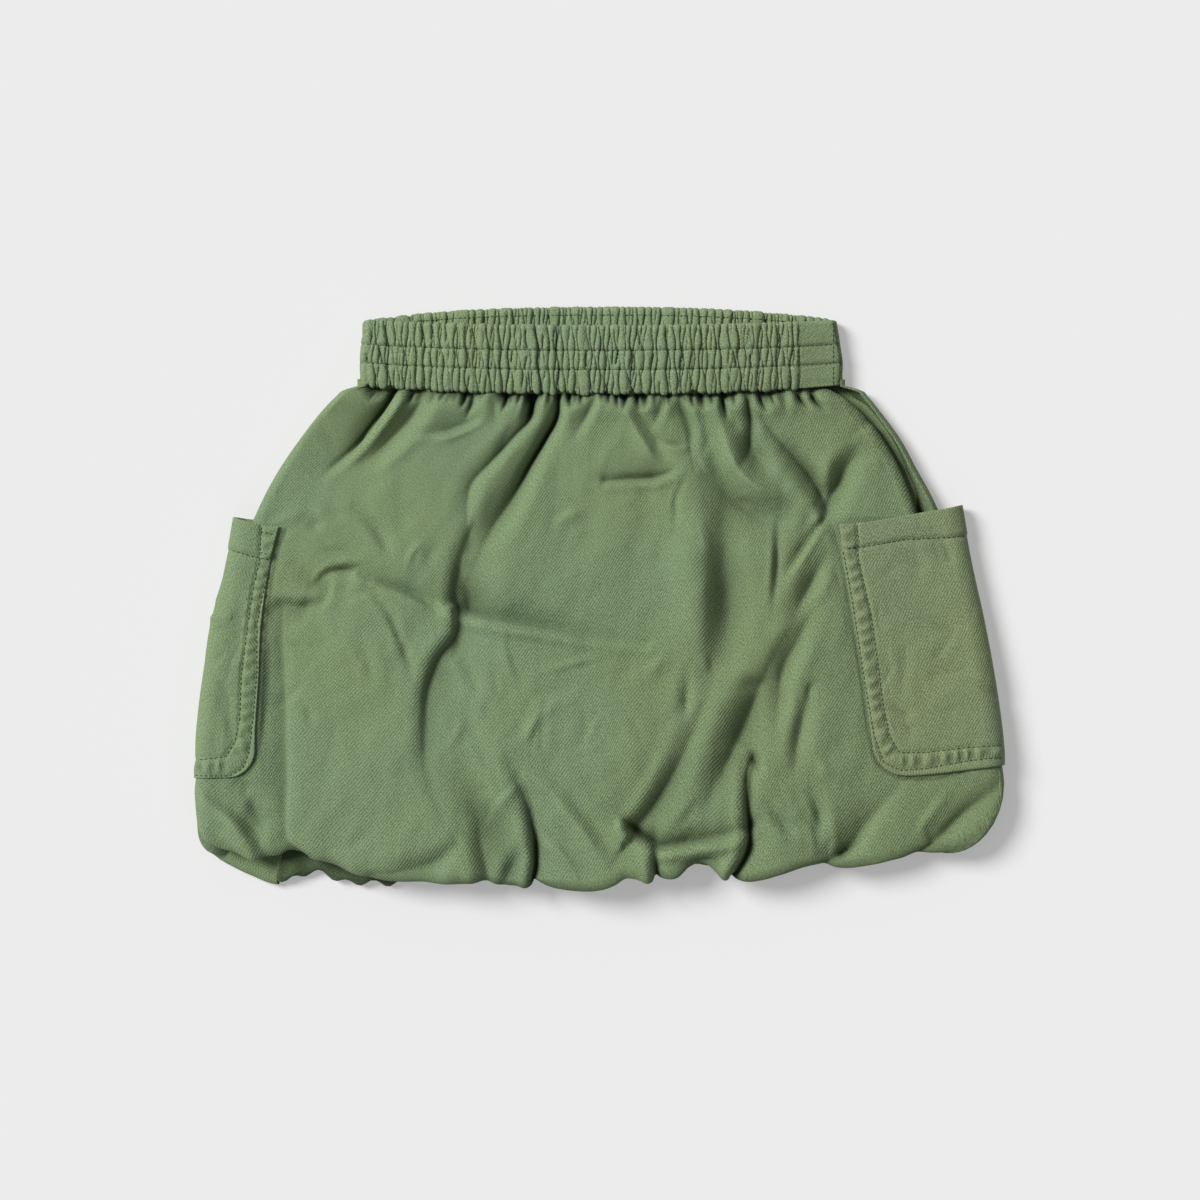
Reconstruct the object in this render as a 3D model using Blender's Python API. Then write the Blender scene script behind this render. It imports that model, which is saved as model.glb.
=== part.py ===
"""A child's balloon skirt in cotton twill, lying flat on its back.

The skirt is a tube: an elastic waistband, a front and a back panel gathered into it, and a hem that
rolls under and runs back up inside. Two cargo pockets wrap round the side seams.
Every piece is a wall between two sheets of points that are worked out from the sizes below.
Lengths in the tables are millimetres. +X is to the right as seen, +Y points to the waist, +Z is up.

A point of the tube has a place q round it: from -1 at the left fold over the front to 1 at the right
fold, and on over the back, from 1 to 3 or from -1 to -3. The round nose of each fold lies within NOSE
of the fold's own place.
"""

import math

import bmesh
import bpy
import numpy as np

MM = 0.001

# Driving sizes
WALL = 1.2  # the twill, drawn as a wall
BAND_WALL = 3.0  # twill, elastic and twill
SEAM_GAP = 0.3  # between two pieces that are sewn together
HEM_TURN = 32.0  # how far the hem runs back up inside
HEM_DRAW = 0.06  # how much narrower the hem's elastic edge is than its roll
FRONT_ROLL = 4.6  # radius of the hem's roll, front
BACK_ROLL = 2.6  # radius of the hem's roll, back
ROLL_PUFF = 1.5  # how much further than round the roll reaches down
LEFT_SEAM = 0.17  # the left side seam lies this far round on the back, as a part of its half width
RIGHT_SEAM = 2.5  # the right side seam lies this far in from the fold, on the front
NOSE = 0.08
SEEKS = 12  # rounds that finding a point's place on the body takes
STEP = 1e-3  # a small step round the tube, to find which way its cloth faces

# The side folds of the body, down to where the hem starts to roll.
SIDES = {
    "y": [107, 101.5, 94, 79.5, 64.5, 49.5, 20, -10.5, -40.5, -70.5, -86, -100, -114],
    "left": [-120, -128, -138, -150.5, -161, -169, -181, -189, -195.5, -200, -200.9, -203, -202],
    "right": [120, 128.5, 137, 149.5, 157.5, 166, 178, 186.5, 193.5, 199, 200.6, 202, 202],
}
# The body's thickness, from the waist seam (0) to the roll (1): in the middle, at the side folds, and the
# part of its half width over which one rises to the other.
ALONG = {
    "v": [0.0, 0.05, 0.13, 0.30, 0.55, 0.80, 1.0],
    "crown": [13.2, 15.0, 17.0, 19.0, 21.0, 22.5, 22.5],
    "side": [8.4, 9.2, 10.0, 11.5, 13.5, 15.5, 16.0],
    "rise": [0.55, 0.50, 0.45, 0.40, 0.34, 0.30, 0.30],
}
# The lowest line of the rolled hem, seen from above.
FRONT_HEM = {
    "x": [-194, -173, -153, -137, -117, -96, -72, -47, -11, 13, 25, 49, 67, 97, 121, 145, 165, 178],
    "y": [-127, -128, -126, -130, -137, -139.5, -141, -145, -146, -139.5, -144, -136, -141, -136, -135.5,
          -130.5, -126, -124],
}
BACK_HEM = {
    "x": [-194, -184, -170, -154, -138, -124, -110, -95, -70, -30, 20, 60, 110, 150, 178],
    "y": [-127, -134, -138.5, -141, -139.5, -142, -143, -140, -137, -138, -136, -133, -130, -126, -124],
}
# The rounded corner at each end of the hem: half its width, its depth, and how sharply it starts.
CORNER = {
    "left": {"width": 9.0, "depth": 13.0, "power": 8},
    "right": {"width": 25.0, "depth": 34.0, "power": 3},
}
INNER_SIDE = 10.4  # height of the turned-up hem's side folds
BODY_ROWS = [0, 0.035, 0.08, 0.14, 0.22, 0.31, 0.41, 0.51, 0.61, 0.71, 0.79, 0.85, 0.90, 0.95, 1.0]
CORNER_START = 14  # how sharply the hem's roll deepens into its corners
ROLL_STEPS = 5
HEM_STEPS = 2

# The waistband's outline, from its lower seam (0) to its top edge (1), and its thickness.
BAND = {
    "h": [0.0, 0.33, 0.65, 1.0],
    "left": [-119.5, -120.5, -119.5, -117.0],
    "right": [120.0, 121.0, 119.5, 117.5],
    "crown": [13.2, 13.6, 13.8, 13.4],
    "side": [8.4, 8.4, 8.4, 8.4],
    "rise": [0.55, 0.50, 0.50, 0.50],
}
BAND_TOP = {"front": 136.0, "back": 146.0, "side": 140.5}
BAND_FOOT = {"front": 102.5, "back": 107.5, "side": 107.0}
CHANNELS = 3
CHANNEL_PUFF = 0.7
BAND_GATHERS = {"front": 54, "back": 40}
BAND_GATHER = 0.8  # height of the gathers
BAND_FLAT_END = 20.0  # width of the ungathered end of the front band, at the right
BODY_GATHERS = 27  # across the front panel at the waist seam
BODY_GATHER = 1.5
GATHER_REACH = 0.36  # how far down the body they run

# The largest folds of the front. Each runs through its points. depth is how far it sinks, left and right are
# its half widths on either side as seen looking down it, and peak is where along it it is deepest.
FOLDS = [
    {"name": "centre", "path": [(-20, 98), (-33, 66), (-57, 27), (-72, 0), (-76, -22)],
     "depth": 6.0, "left": 5, "right": 13, "peak": 0.75},
    {"name": "centre_foot", "path": [(-72, -12), (-86, -40), (-88, -80)],
     "depth": 3.5, "left": 6, "right": 9, "peak": 0.3},
    {"name": "hem_left", "path": [(-78, -32), (-62, -66), (-40, -98), (-33, -146)],
     "depth": 5.0, "left": 7, "right": 8, "peak": 0.9},
    {"name": "shoulder_left", "path": [(-101, 103), (-122, 76), (-148, 50)],
     "depth": 4.0, "left": 5, "right": 6, "peak": 0.35},
    {"name": "shoulder_right", "path": [(114, 101), (133, 86), (147, 66), (156, 44)],
     "depth": 4.0, "left": 6, "right": 6, "peak": 0.3},
    {"name": "side_left", "path": [(-154, -2), (-161, -24), (-158, -80), (-150, -122)],
     "depth": 4.0, "left": 7, "right": 7, "peak": 0.5},
    {"name": "cross_crease", "path": [(-72, -8), (-30, -14), (20, -22)],
     "depth": 3.5, "left": 7, "right": 7, "peak": 0.15},
    {"name": "ridge_side", "path": [(44, 60), (40, -10), (38, -60)],
     "depth": 2.5, "left": 7, "right": 9, "peak": 0.6},
    {"name": "pocket_right", "path": [(108, 14), (86, -30), (66, -70), (54, -100)],
     "depth": 5.0, "left": 7, "right": 8, "peak": 0.6},
    {"name": "pocket_right_low", "path": [(108, -26), (97, -70), (92, -100)],
     "depth": 2.5, "left": 7, "right": 7, "peak": 0.5},
    {"name": "hem_mid", "path": [(14, -112), (26, -124), (27, -146)],
     "depth": 4.5, "left": 6, "right": 7, "peak": 0.7},
    {"name": "hem_right", "path": [(71, -84), (73, -116), (66, -142)],
     "depth": 4.5, "left": 8, "right": 6, "peak": 0.7},
    {"name": "corner_inner", "path": [(150, -94), (129, -117), (108, -136)],
     "depth": 4.0, "left": 6, "right": 6, "peak": 0.6},
    {"name": "corner_outer", "path": [(188, -90), (172, -106), (162, -118)],
     "depth": 2.4, "left": 6, "right": 6, "peak": 0.5},
    {"name": "gather_left", "path": [(-33, 99), (-34, 88), (-50, 70)],
     "depth": 3.0, "left": 5, "right": 5, "peak": 0.2},
    {"name": "gather_mid", "path": [(0, 99), (-8, 88), (-20, 70)],
     "depth": 3.0, "left": 5, "right": 5, "peak": 0.2},
    {"name": "gather_notch", "path": [(38, 101), (44, 86), (45, 78)],
     "depth": 3.0, "left": 5, "right": 5, "peak": 0.3},
    {"name": "gather_right", "path": [(73, 103), (73, 84), (74, 66)],
     "depth": 4.0, "left": 5, "right": 5, "peak": 0.3},
    {"name": "vee_left", "path": [(90, 78), (103, 65), (112, 46)],
     "depth": 4.0, "left": 6, "right": 7, "peak": 0.6},
    {"name": "vee_right", "path": [(112, 44), (121, 63), (135, 69)],
     "depth": 3.0, "left": 6, "right": 6, "peak": 0.4},
]
FOLD_LIP = 0.28  # how far the cloth rises beside a fold, as a part of its depth

# The pockets, from the mouth down: the edge on the front, and the outer fold.
POCKETS = {
    "left": {"y": [40.0, 20.0, -10.0, -40.0, -70.0, -88.0],
             "edge": [-158.0, -163.0, -167.5, -169.0, -170.5, -170.5],
             "fold": [-183.5, -187.0, -194.5, -199.0, -202.6, -202.9],
             "back": 88.0, "mouth_edge": 36.5, "mouth_fold": 40.5, "foot_edge": -88.0, "foot_fold": -88.5},
    "right": {"y": [47.0, 20.0, -10.0, -40.0, -70.0, -88.0],
              "edge": [116.5, 119.5, 124.5, 129.5, 133.5, 136.0],
              "fold": [180.8, 185.5, 192.0, 197.5, 201.6, 202.7],
              "back": 56.0, "mouth_edge": 37.5, "mouth_fold": 46.5, "foot_edge": -87.0, "foot_fold": -82.0},
}
POCKET_CORNER = 14.0  # radius of the pocket's lower corners
POCKET_HEM = 14.0  # depth of the turned hem at the mouth
POCKET_HEM_RAISE = 0.5
POCKET_ROWS = [0, 0.02, 0.09, 0.125, 0.25, 0.4, 0.55, 0.7, 0.82, 0.90, 0.96, 1.0]
COVER_ROOM = 10.0  # the back panel stays up on a pocket under it for this far outside the pocket
COVER_FADE = 12.0  # and comes down to the floor over this length

COLOURS = {
    "waistband": (0.130, 0.176, 0.104, 1.0),
    "panel": (0.195, 0.285, 0.150, 1.0),
    "pocket": (0.180, 0.231, 0.119, 1.0),
}


def through(xs, ys, at):
    """A smooth curve through the table's points, read at one place or at many."""
    xs, ys = np.asarray(xs, float), np.asarray(ys, float)
    if xs[0] > xs[-1]:
        xs, ys = xs[::-1], ys[::-1]
    step = np.diff(xs)
    rise = np.diff(ys) / step
    slope = np.concatenate([[rise[0]], (rise[:-1] + rise[1:]) / 2, [rise[-1]]])
    slope[1:-1][rise[:-1] * rise[1:] <= 0] = 0.0
    at = np.clip(at, xs[0], xs[-1])
    k = np.clip(np.searchsorted(xs, at, side="right") - 1, 0, len(step) - 1)
    t = (at - xs[k]) / step[k]
    return (ys[k] * (2 * t**3 - 3 * t**2 + 1) + ys[k + 1] * (3 * t**2 - 2 * t**3)
            + step[k] * (slope[k] * (t**3 - 2 * t**2 + t) + slope[k + 1] * (t**3 - t**2)))


def smooth(t):
    t = np.clip(t, 0.0, 1.0)
    return t * t * (3 - 2 * t)


def fold_depth(fold, x, y):
    """How deep one fold is at (x, y)."""
    path = np.array(fold["path"], float)
    runs = np.linalg.norm(np.diff(path, axis=0), axis=1)
    nearest = np.full(np.shape(x), np.inf)
    along = np.zeros(np.shape(x))
    side = np.zeros(np.shape(x))
    start = 0.0
    for a, b, run in zip(path[:-1], path[1:], runs):
        way = (b - a) / run
        t = np.clip((x - a[0]) * way[0] + (y - a[1]) * way[1], 0, run)
        dx, dy = x - a[0] - t * way[0], y - a[1] - t * way[1]
        away = np.hypot(dx, dy)
        closer = away < nearest
        nearest = np.where(closer, away, nearest)
        along = np.where(closer, (start + t) / runs.sum(), along)
        side = np.where(closer, way[0] * dy - way[1] * dx, side)
        start += run
    width = np.where(side > 0, fold["left"], fold["right"])
    before = smooth(0.35 + 0.65 * along / fold["peak"])
    after = smooth(1 - (along - fold["peak"]) / (1.1 - fold["peak"]))
    valley = np.exp(-((nearest / width) ** 1.6))
    lips = FOLD_LIP * np.exp(-(((nearest - 1.9 * width) / width) ** 2))
    return fold["depth"] * np.where(along < fold["peak"], before, after) * (valley - lips)


def folds(x, y):
    """How far the front sinks at (x, y)."""
    return sum(fold_depth(fold, x, y) for fold in FOLDS)


def side_x(side, y):
    return through(SIDES["y"], SIDES[side], y)


def side_row(side, v):
    """The y on a side fold at v down the body."""
    table = {"left": FRONT_HEM["y"][0], "right": FRONT_HEM["y"][-1]}
    end = table[side] + CORNER[side]["depth"]
    top = BAND_FOOT["side"] - SEAM_GAP
    return top + (end - top) * v


def pocket_cover(x, y):
    """1 where a pocket lies under the back panel, fading to 0 outside it."""
    cover = np.zeros(np.shape(x))
    for side, pocket in POCKETS.items():
        fold = side_x(side, y)
        reach = pocket["back"] - np.abs(x - fold)
        above_foot = y - min(pocket["foot_edge"], pocket["foot_fold"])
        below_mouth = max(pocket["mouth_edge"], pocket["mouth_fold"]) - y
        reach = np.minimum(reach, np.minimum(above_foot, below_mouth)) + COVER_ROOM
        cover = np.maximum(cover, smooth(reach / COVER_FADE + 1))
    return cover


def ring(q, left, right, crown, side, rise, floor):
    """A closed ring of the tube: (x, z, place across from -1 to 1, whether on the front)."""
    front = np.abs(q) <= 1
    flat = np.where(front, q, np.where(q > 1, 2 - q, -2 - q))
    sign = np.where(flat >= 0, 1.0, -1.0)
    flat = np.abs(flat)
    nose = (side - floor) / 2
    turn = np.clip((flat - (1 - NOSE)) / NOSE, 0, 1) * math.pi / 2
    run = np.clip(flat / (1 - NOSE), 0, 1)
    middle, half = (left + right) / 2, (right - left) / 2
    x = middle + sign * (run * (half - nose) + nose * np.sin(turn))
    hump = (crown - side) * smooth((1 - run) / rise)
    z = np.where(front, floor + nose + nose * np.cos(turn) + hump, floor + nose - nose * np.cos(turn))
    return x, z, (x - middle) / half, front


def bowed(table, u, front):
    """The y of a line round the waist that bows between the side folds."""
    middle = np.where(front, table["front"], table["back"])
    return middle + (table["side"] - middle) * np.abs(u) ** 2.5


def corner_inset(u):
    """How far the middle of the hem's roll lies in from the body's edge, at u across the skirt."""
    width, power = (np.where(u < 0, CORNER["left"][key], CORNER["right"][key]) for key in ("width", "power"))
    return -np.sign(u) * width * np.abs(u) ** power


def hem_start(u, front):
    """(y where the hem starts to roll, how far the roll reaches below it), at u across the skirt."""
    left, right = side_x("left", side_row("left", 1.0)), side_x("right", side_row("right", 1.0))
    x = left + (right - left) * (u + 1) / 2 + corner_inset(u)
    front_low, back_low = (through(hem["x"], hem["y"], x) for hem in (FRONT_HEM, BACK_HEM))
    low = np.where(front, front_low, back_low)
    corner = np.where(u < 0, CORNER["left"]["depth"], CORNER["right"]["depth"])
    flat = np.where(front, FRONT_ROLL, BACK_ROLL) + ROLL_PUFF
    depth = flat + (corner - flat) * np.abs(u) ** CORNER_START
    return low + depth, depth


def body_ring(q, v, lift):
    left, right = side_x("left", side_row("left", v)), side_x("right", side_row("right", v))
    crown, side, rise = (through(ALONG["v"], ALONG[key], v) for key in ("crown", "side", "rise"))
    return ring(q, left, right, crown, side, rise, lift)


def body_point(q, v):
    """The outer face of the body at q round it and v down it, from the waist seam to the hem's roll."""
    x, _, u, front = body_ring(q, v, 0.0)
    top = bowed(BAND_FOOT, u, front) - SEAM_GAP
    y = top + (hem_start(u, front)[0] - top) * v
    lift = (WALL + SEAM_GAP) * pocket_cover(x, y)
    x, z, u, front = body_ring(q, v, lift)
    dip = folds(x, y) * smooth((1 - np.abs(u)) * 9)
    return np.stack([x, y, z - np.where(front, dip, 0.0)], axis=-1)


def hem_point(q, w):
    """The turned-up hem at q round it and w up it, from the roll (0) to its elastic edge (1)."""
    outer = body_point(q, np.ones_like(q))
    _, _, u, front = body_ring(q, np.ones_like(q), 0.0)
    left, right = side_x("left", side_row("left", 1.0)), side_x("right", side_row("right", 1.0))
    crown = ALONG["crown"][-1] - 2 * FRONT_ROLL
    floor = 2 * BACK_ROLL + (WALL + SEAM_GAP) * pocket_cover(outer[..., 0], outer[..., 1])
    x, z, _, _ = ring(q, left, right, crown, INNER_SIDE, ALONG["rise"][-1], floor)
    x = (x + 2 * corner_inset(u)) * (1 - HEM_DRAW * w)
    dip = folds(outer[..., 0], outer[..., 1]) * smooth((1 - np.abs(u)) * 9) * (0.5 - 0.3 * w)
    return np.stack([x, outer[..., 1] + HEM_TURN * w, z - np.where(front, dip, 0.0)], axis=-1)


def roll_point(q, turn):
    """The hem's roll at q round it, turn being the angle from the outer face (0) to the inner (pi)."""
    outer, inner = body_point(q, np.ones_like(q)), hem_point(q, np.zeros_like(q))
    _, _, u, front = body_ring(q, np.ones_like(q), 0.0)
    _, depth = hem_start(u, front)
    middle, half = (outer + inner) / 2, (outer - inner) / 2
    point = middle + half * np.cos(turn)[..., None]
    point[..., 1] = outer[..., 1] - depth * np.sin(turn)
    return point


def band_point(q, h):
    left, right, crown, side, rise = (
        through(BAND["h"], BAND[key], h) for key in ("left", "right", "crown", "side", "rise"))
    x, z, u, front = ring(q, left, right, crown, side, rise, 0.0)
    foot, top = bowed(BAND_FOOT, u, front), bowed(BAND_TOP, u, front)
    return np.stack([x, foot + (top - foot) * h, z], axis=-1)


def facing(down, round_):
    """The outward direction of a sheet, from its steps down the skirt and round it."""
    out = np.cross(down, round_)
    return out / np.linalg.norm(out, axis=-1, keepdims=True)


def sheet_of(rows):
    """The points and outward directions of rows, each a function of a small step round the tube."""
    before, points, after = (np.array([row(step) for row in rows]) for step in (-STEP, 0.0, STEP))
    return points, facing(np.gradient(points, axis=0), after - before)


def columns(*blocks):
    """Places round the tube: each block is (from, to, how many steps), and starts where the last ended."""
    places = [np.linspace(start, end, steps + 1)[:-1] for start, end, steps in blocks]
    return np.concatenate(places + [[blocks[-1][1]]])


def seam_place(side_height, floor=0.0):
    """Where the right side seam lies round the tube, on a fold of this height."""
    nose = (side_height - floor) / 2
    return 1 - NOSE + NOSE * np.arcsin(1 - RIGHT_SEAM / nose) / (math.pi / 2)


def left_seam():
    return -(2 - (1 - NOSE) * (1 - LEFT_SEAM))


def narrowed(points):
    """The sheet with its end columns moved in by half a seam's gap."""
    points = points.copy()
    for end, inner in ((0, 1), (-1, -2)):
        way = points[:, inner] - points[:, end]
        points[:, end] += way / np.linalg.norm(way, axis=-1, keepdims=True) * SEAM_GAP / 2
    return points


def wall(name, outer, inner, colour, roughness=0.9):
    """One closed piece of cloth between an outer and an inner sheet of points, in millimetres."""
    rows, cols = outer.shape[:2]
    bm = bmesh.new()
    faces = []
    for sheet in (outer, inner):
        faces.append([[bm.verts.new(sheet[r, c] * MM) for c in range(cols)] for r in range(rows)])
    out, back = faces
    for r in range(rows - 1):
        for c in range(cols - 1):
            bm.faces.new((out[r][c], out[r + 1][c], out[r + 1][c + 1], out[r][c + 1]))
            bm.faces.new((back[r][c], back[r][c + 1], back[r + 1][c + 1], back[r + 1][c]))
    for r in range(rows - 1):
        bm.faces.new((out[r + 1][0], out[r][0], back[r][0], back[r + 1][0]))
        bm.faces.new((out[r][-1], out[r + 1][-1], back[r + 1][-1], back[r][-1]))
    for c in range(cols - 1):
        bm.faces.new((out[0][c], out[0][c + 1], back[0][c + 1], back[0][c]))
        bm.faces.new((out[-1][c + 1], out[-1][c], back[-1][c], back[-1][c + 1]))
    bmesh.ops.triangulate(bm, faces=bm.faces, quad_method="SHORT_EDGE")
    bmesh.ops.recalc_face_normals(bm, faces=bm.faces)
    mesh = bpy.data.meshes.new(name)
    bm.to_mesh(mesh)
    bm.free()
    mesh.shade_smooth()
    mesh.set_sharp_from_angle(angle=math.radians(50))
    material = bpy.data.materials.new(name)
    material.use_nodes = True
    shader = material.node_tree.nodes["Principled BSDF"]
    shader.inputs["Base Color"].default_value = colour
    shader.inputs["Roughness"].default_value = roughness
    shader.inputs["Metallic"].default_value = 0.0
    mesh.materials.append(material)
    piece = bpy.data.objects.new(name, mesh)
    bpy.context.scene.collection.objects.link(piece)
    return piece


def gather_heights(count, seed):
    """A raised point in every second column, each gather of its own height from 0.55 to 1."""
    k = np.arange(count)
    uneven = 0.775 + 0.225 * np.sin(2.4 * (k // 2) + seed) * np.cos(0.9 * (k // 2))
    return np.where(k % 2 == 1, uneven, 0.0)


def on_body(places, v, step):
    q = places(through(ALONG["v"], ALONG["side"], v)) + step
    return body_point(q, np.full_like(q, v))


def panel(name, places, gathers, seed=0.0):
    """A panel of the body: its outer run, the hem's roll and the turned-up hem, as one wall."""
    q = places(ALONG["side"][-1])
    rows = [lambda step, v=v: on_body(places, v, step) for v in BODY_ROWS]
    rows += [lambda step, k=k: roll_point(q + step, np.full_like(q, math.pi * k / ROLL_STEPS))
             for k in range(1, ROLL_STEPS + 1)]
    rows += [lambda step, k=k: hem_point(q + step, np.full_like(q, k / HEM_STEPS))
             for k in range(1, HEM_STEPS + 1)]
    sheet, out = sheet_of(rows)
    inside = sheet - out * WALL
    if gathers:
        # Gathers rise on the outer face only, highest just below the waist seam.
        height = gather_heights(len(q), seed) * smooth((0.93 - np.abs(q)) * 12)
        fade = np.zeros(len(rows))
        fade[:len(BODY_ROWS)] = [smooth(1 - v / GATHER_REACH) * (0.55 + 0.45 * smooth(v / 0.08))
                                 for v in BODY_ROWS]
        sheet[..., 2] += BODY_GATHER * fade[:, None] * height[None, :]
    return wall(name, narrowed(sheet), narrowed(inside), COLOURS["panel"])


def front_places(side_height):
    steps = 2 * BODY_GATHERS
    return columns((left_seam(), -(1 + NOSE), 3), (-(1 + NOSE), -(1 - NOSE), 6),
                   (-(1 - NOSE), 1 - NOSE, steps), (1 - NOSE, seam_place(side_height), 2))


def back_places(side_height):
    return columns((seam_place(side_height), 1 + NOSE, 4), (1 + NOSE, 4 + left_seam(), 32))


def band(name, places, gathered, seed):
    """One half of the waistband: three channels of elastic, with gathers across them."""
    steps = 2 * CHANNELS
    heights = np.linspace(1, 0, steps + 1)
    sheet, out = sheet_of([lambda step, h=h: band_point(places + step, np.full_like(places, h))
                           for h in heights])
    inside = sheet - out * BAND_WALL
    puff = CHANNEL_PUFF * np.abs(np.sin(math.pi * CHANNELS * heights))
    shape = puff[:, None] + BAND_GATHER * gather_heights(len(places), seed)[None, :]
    raised = gathered(sheet)
    if name.endswith("front"):
        sheet[..., 2] += shape * raised
    else:
        inside[..., 2] += shape * raised
    return wall(name, narrowed(sheet), narrowed(inside), COLOURS["waistband"])


def waistband():
    right = seam_place(BAND["side"][0])
    front = columns((left_seam(), -(1 + NOSE), 2), (-(1 + NOSE), -(1 - NOSE), 6),
                    (-(1 - NOSE), 1 - NOSE, 2 * BAND_GATHERS["front"]), (1 - NOSE, right, 1))
    back = columns((right, 1 + NOSE, 4), (1 + NOSE, 4 + left_seam(), 2 * BAND_GATHERS["back"]))
    flat_from = BAND["right"][0] - RIGHT_SEAM - BAND_FLAT_END

    def front_gathered(sheet):
        x = sheet[..., 0]
        ends = smooth((flat_from - x) / 4 + 1) * smooth((x - BAND["left"][0]) / 12)
        return ends * (np.abs(front) < 1 - NOSE)

    def back_gathered(sheet):
        x = sheet[..., 0]
        return smooth((BAND["right"][0] - 8 - np.abs(x)) / 10) * (back > 1 + NOSE)

    band("waistband_front", front, front_gathered, 0.4)
    band("waistband_back", back, back_gathered, 1.7)


def row_at(q, y):
    """How far down the body the height y on the skirt is, at q round it."""
    v = np.full_like(q, 0.5)
    for _ in range(SEEKS):
        _, _, u, front = body_ring(q, v, 0.0)
        top = bowed(BAND_FOOT, u, front) - SEAM_GAP
        v = (top - y) / (top - hem_start(u, front)[0])
    return v


def place_at(x, y, front):
    """The place round the tube of a point at (x, y) on the flat of the front or of the back."""
    q = np.array([0.0 if front else 2.0])
    for _ in range(SEEKS):
        v = row_at(q, y)
        left, right = side_x("left", side_row("left", v)), side_x("right", side_row("right", v))
        nose = through(ALONG["v"], ALONG["side"], v) / 2
        run = (x - (left + right) / 2) / ((right - left) / 2 - nose) * (1 - NOSE)
        q = run if front else np.sign(run) * (2 - np.abs(run))
    return q[0]


def pocket(side):
    """A cargo pocket that wraps round the side fold, its points those of the body moved out."""
    table = POCKETS[side]
    sign = -1.0 if side == "left" else 1.0
    rows_q, rows_v, shifts = [], [], []
    for t in POCKET_ROWS:
        y_edge = table["mouth_edge"] + (table["foot_edge"] - table["mouth_edge"]) * t
        y_fold = table["mouth_fold"] + (table["foot_fold"] - table["mouth_fold"]) * t
        above_foot = min(y_edge - table["foot_edge"], POCKET_CORNER)
        cut = POCKET_CORNER - math.sqrt(POCKET_CORNER**2 - (POCKET_CORNER - above_foot) ** 2)
        edge = through(table["y"], table["edge"], y_edge) + sign * cut
        fold = side_x(side, y_fold)
        back = fold - sign * (table["back"] - cut)
        q_edge, q_back = place_at(edge, y_edge, True), place_at(back, y_edge, False)
        q = columns((q_edge, sign * (1 - NOSE), 7), (sign * (1 - NOSE), sign * (1 + NOSE), 8),
                    (sign * (1 + NOSE), q_back, 5))
        to_fold = smooth((np.abs(q) - abs(q_edge)) / (1 - abs(q_edge)))
        from_fold = smooth((abs(q_back) - np.abs(q)) / (abs(q_back) - 1))
        near = np.where(np.abs(q) <= 1, to_fold, from_fold)
        gape = max(0.0, abs(through(table["y"], table["fold"], y_fold)) - abs(fold) - WALL - SEAM_GAP)
        rows_q.append(q)
        rows_v.append(row_at(q, y_edge + (y_fold - y_edge) * near))
        shifts.append(sign * gape * near)
    q, v = np.array(rows_q), np.array(rows_v)
    on = body_point(q, v)
    down = body_point(q, v + STEP) - body_point(q, v - STEP)
    out = facing(down, body_point(q + STEP, v) - body_point(q - STEP, v))
    on[..., 0] += np.array(shifts)
    inner = on + out * SEAM_GAP
    outer = on + out * (SEAM_GAP + WALL)
    # The turned hem at the mouth stands a little proud of the rest, but not on the underside.
    hem_rows = (np.array(POCKET_ROWS) * (table["mouth_edge"] - table["foot_edge"]) < POCKET_HEM)[:, None]
    outer += out * (hem_rows * POCKET_HEM_RAISE * np.clip(out[..., 2] * 3, 0, 1))[..., None]
    return wall("pocket_" + side, outer, inner, COLOURS["pocket"])


def main():
    for leftover in list(bpy.data.objects):
        bpy.data.objects.remove(leftover, do_unlink=True)
    waistband()
    panel("front_panel", front_places, gathers=True, seed=0.9)
    panel("back_panel", back_places, gathers=False)
    for side in POCKETS:
        pocket(side)


main()
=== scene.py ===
# %% [markdown]
# # A balloon skirt in washed cotton twill
# The skirt lies flat on its back and we look straight down on it. It is a tube of cloth: an elastic
# waistband, a front and a back panel gathered into it, and a hem that rolls under and runs back up inside.
# Two cargo pockets wrap round its sides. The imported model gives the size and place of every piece, so it is
# loaded first and nothing has to be fitted afterwards.

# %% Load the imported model
import math
import random

import bpy
import numpy as np
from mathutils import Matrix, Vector
from mathutils.bvhtree import BVHTree


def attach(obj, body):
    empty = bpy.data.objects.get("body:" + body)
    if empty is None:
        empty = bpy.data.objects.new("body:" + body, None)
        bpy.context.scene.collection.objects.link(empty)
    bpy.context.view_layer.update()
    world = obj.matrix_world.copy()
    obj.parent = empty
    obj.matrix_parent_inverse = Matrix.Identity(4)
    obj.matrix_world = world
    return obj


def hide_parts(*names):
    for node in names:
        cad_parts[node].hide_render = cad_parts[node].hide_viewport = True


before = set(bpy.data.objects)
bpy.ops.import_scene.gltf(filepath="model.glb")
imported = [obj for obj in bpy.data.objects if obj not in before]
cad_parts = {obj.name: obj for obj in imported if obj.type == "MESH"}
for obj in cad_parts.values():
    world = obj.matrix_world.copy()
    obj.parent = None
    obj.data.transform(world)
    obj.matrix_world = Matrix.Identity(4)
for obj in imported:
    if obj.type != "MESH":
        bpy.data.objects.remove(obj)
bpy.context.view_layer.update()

# %% [markdown]
# ## Two small helpers
# A maker draws an outline through a few measured points. `through` does the same: it reads a smooth curve
# that passes through every point of a table. `smooth` turns a straight ramp into a soft one, which is what
# every fade in this skirt uses. All tables are in millimetres, and `MM` turns them into Blender's metres.

# %% Curves through measured points
MM = 0.001


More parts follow.
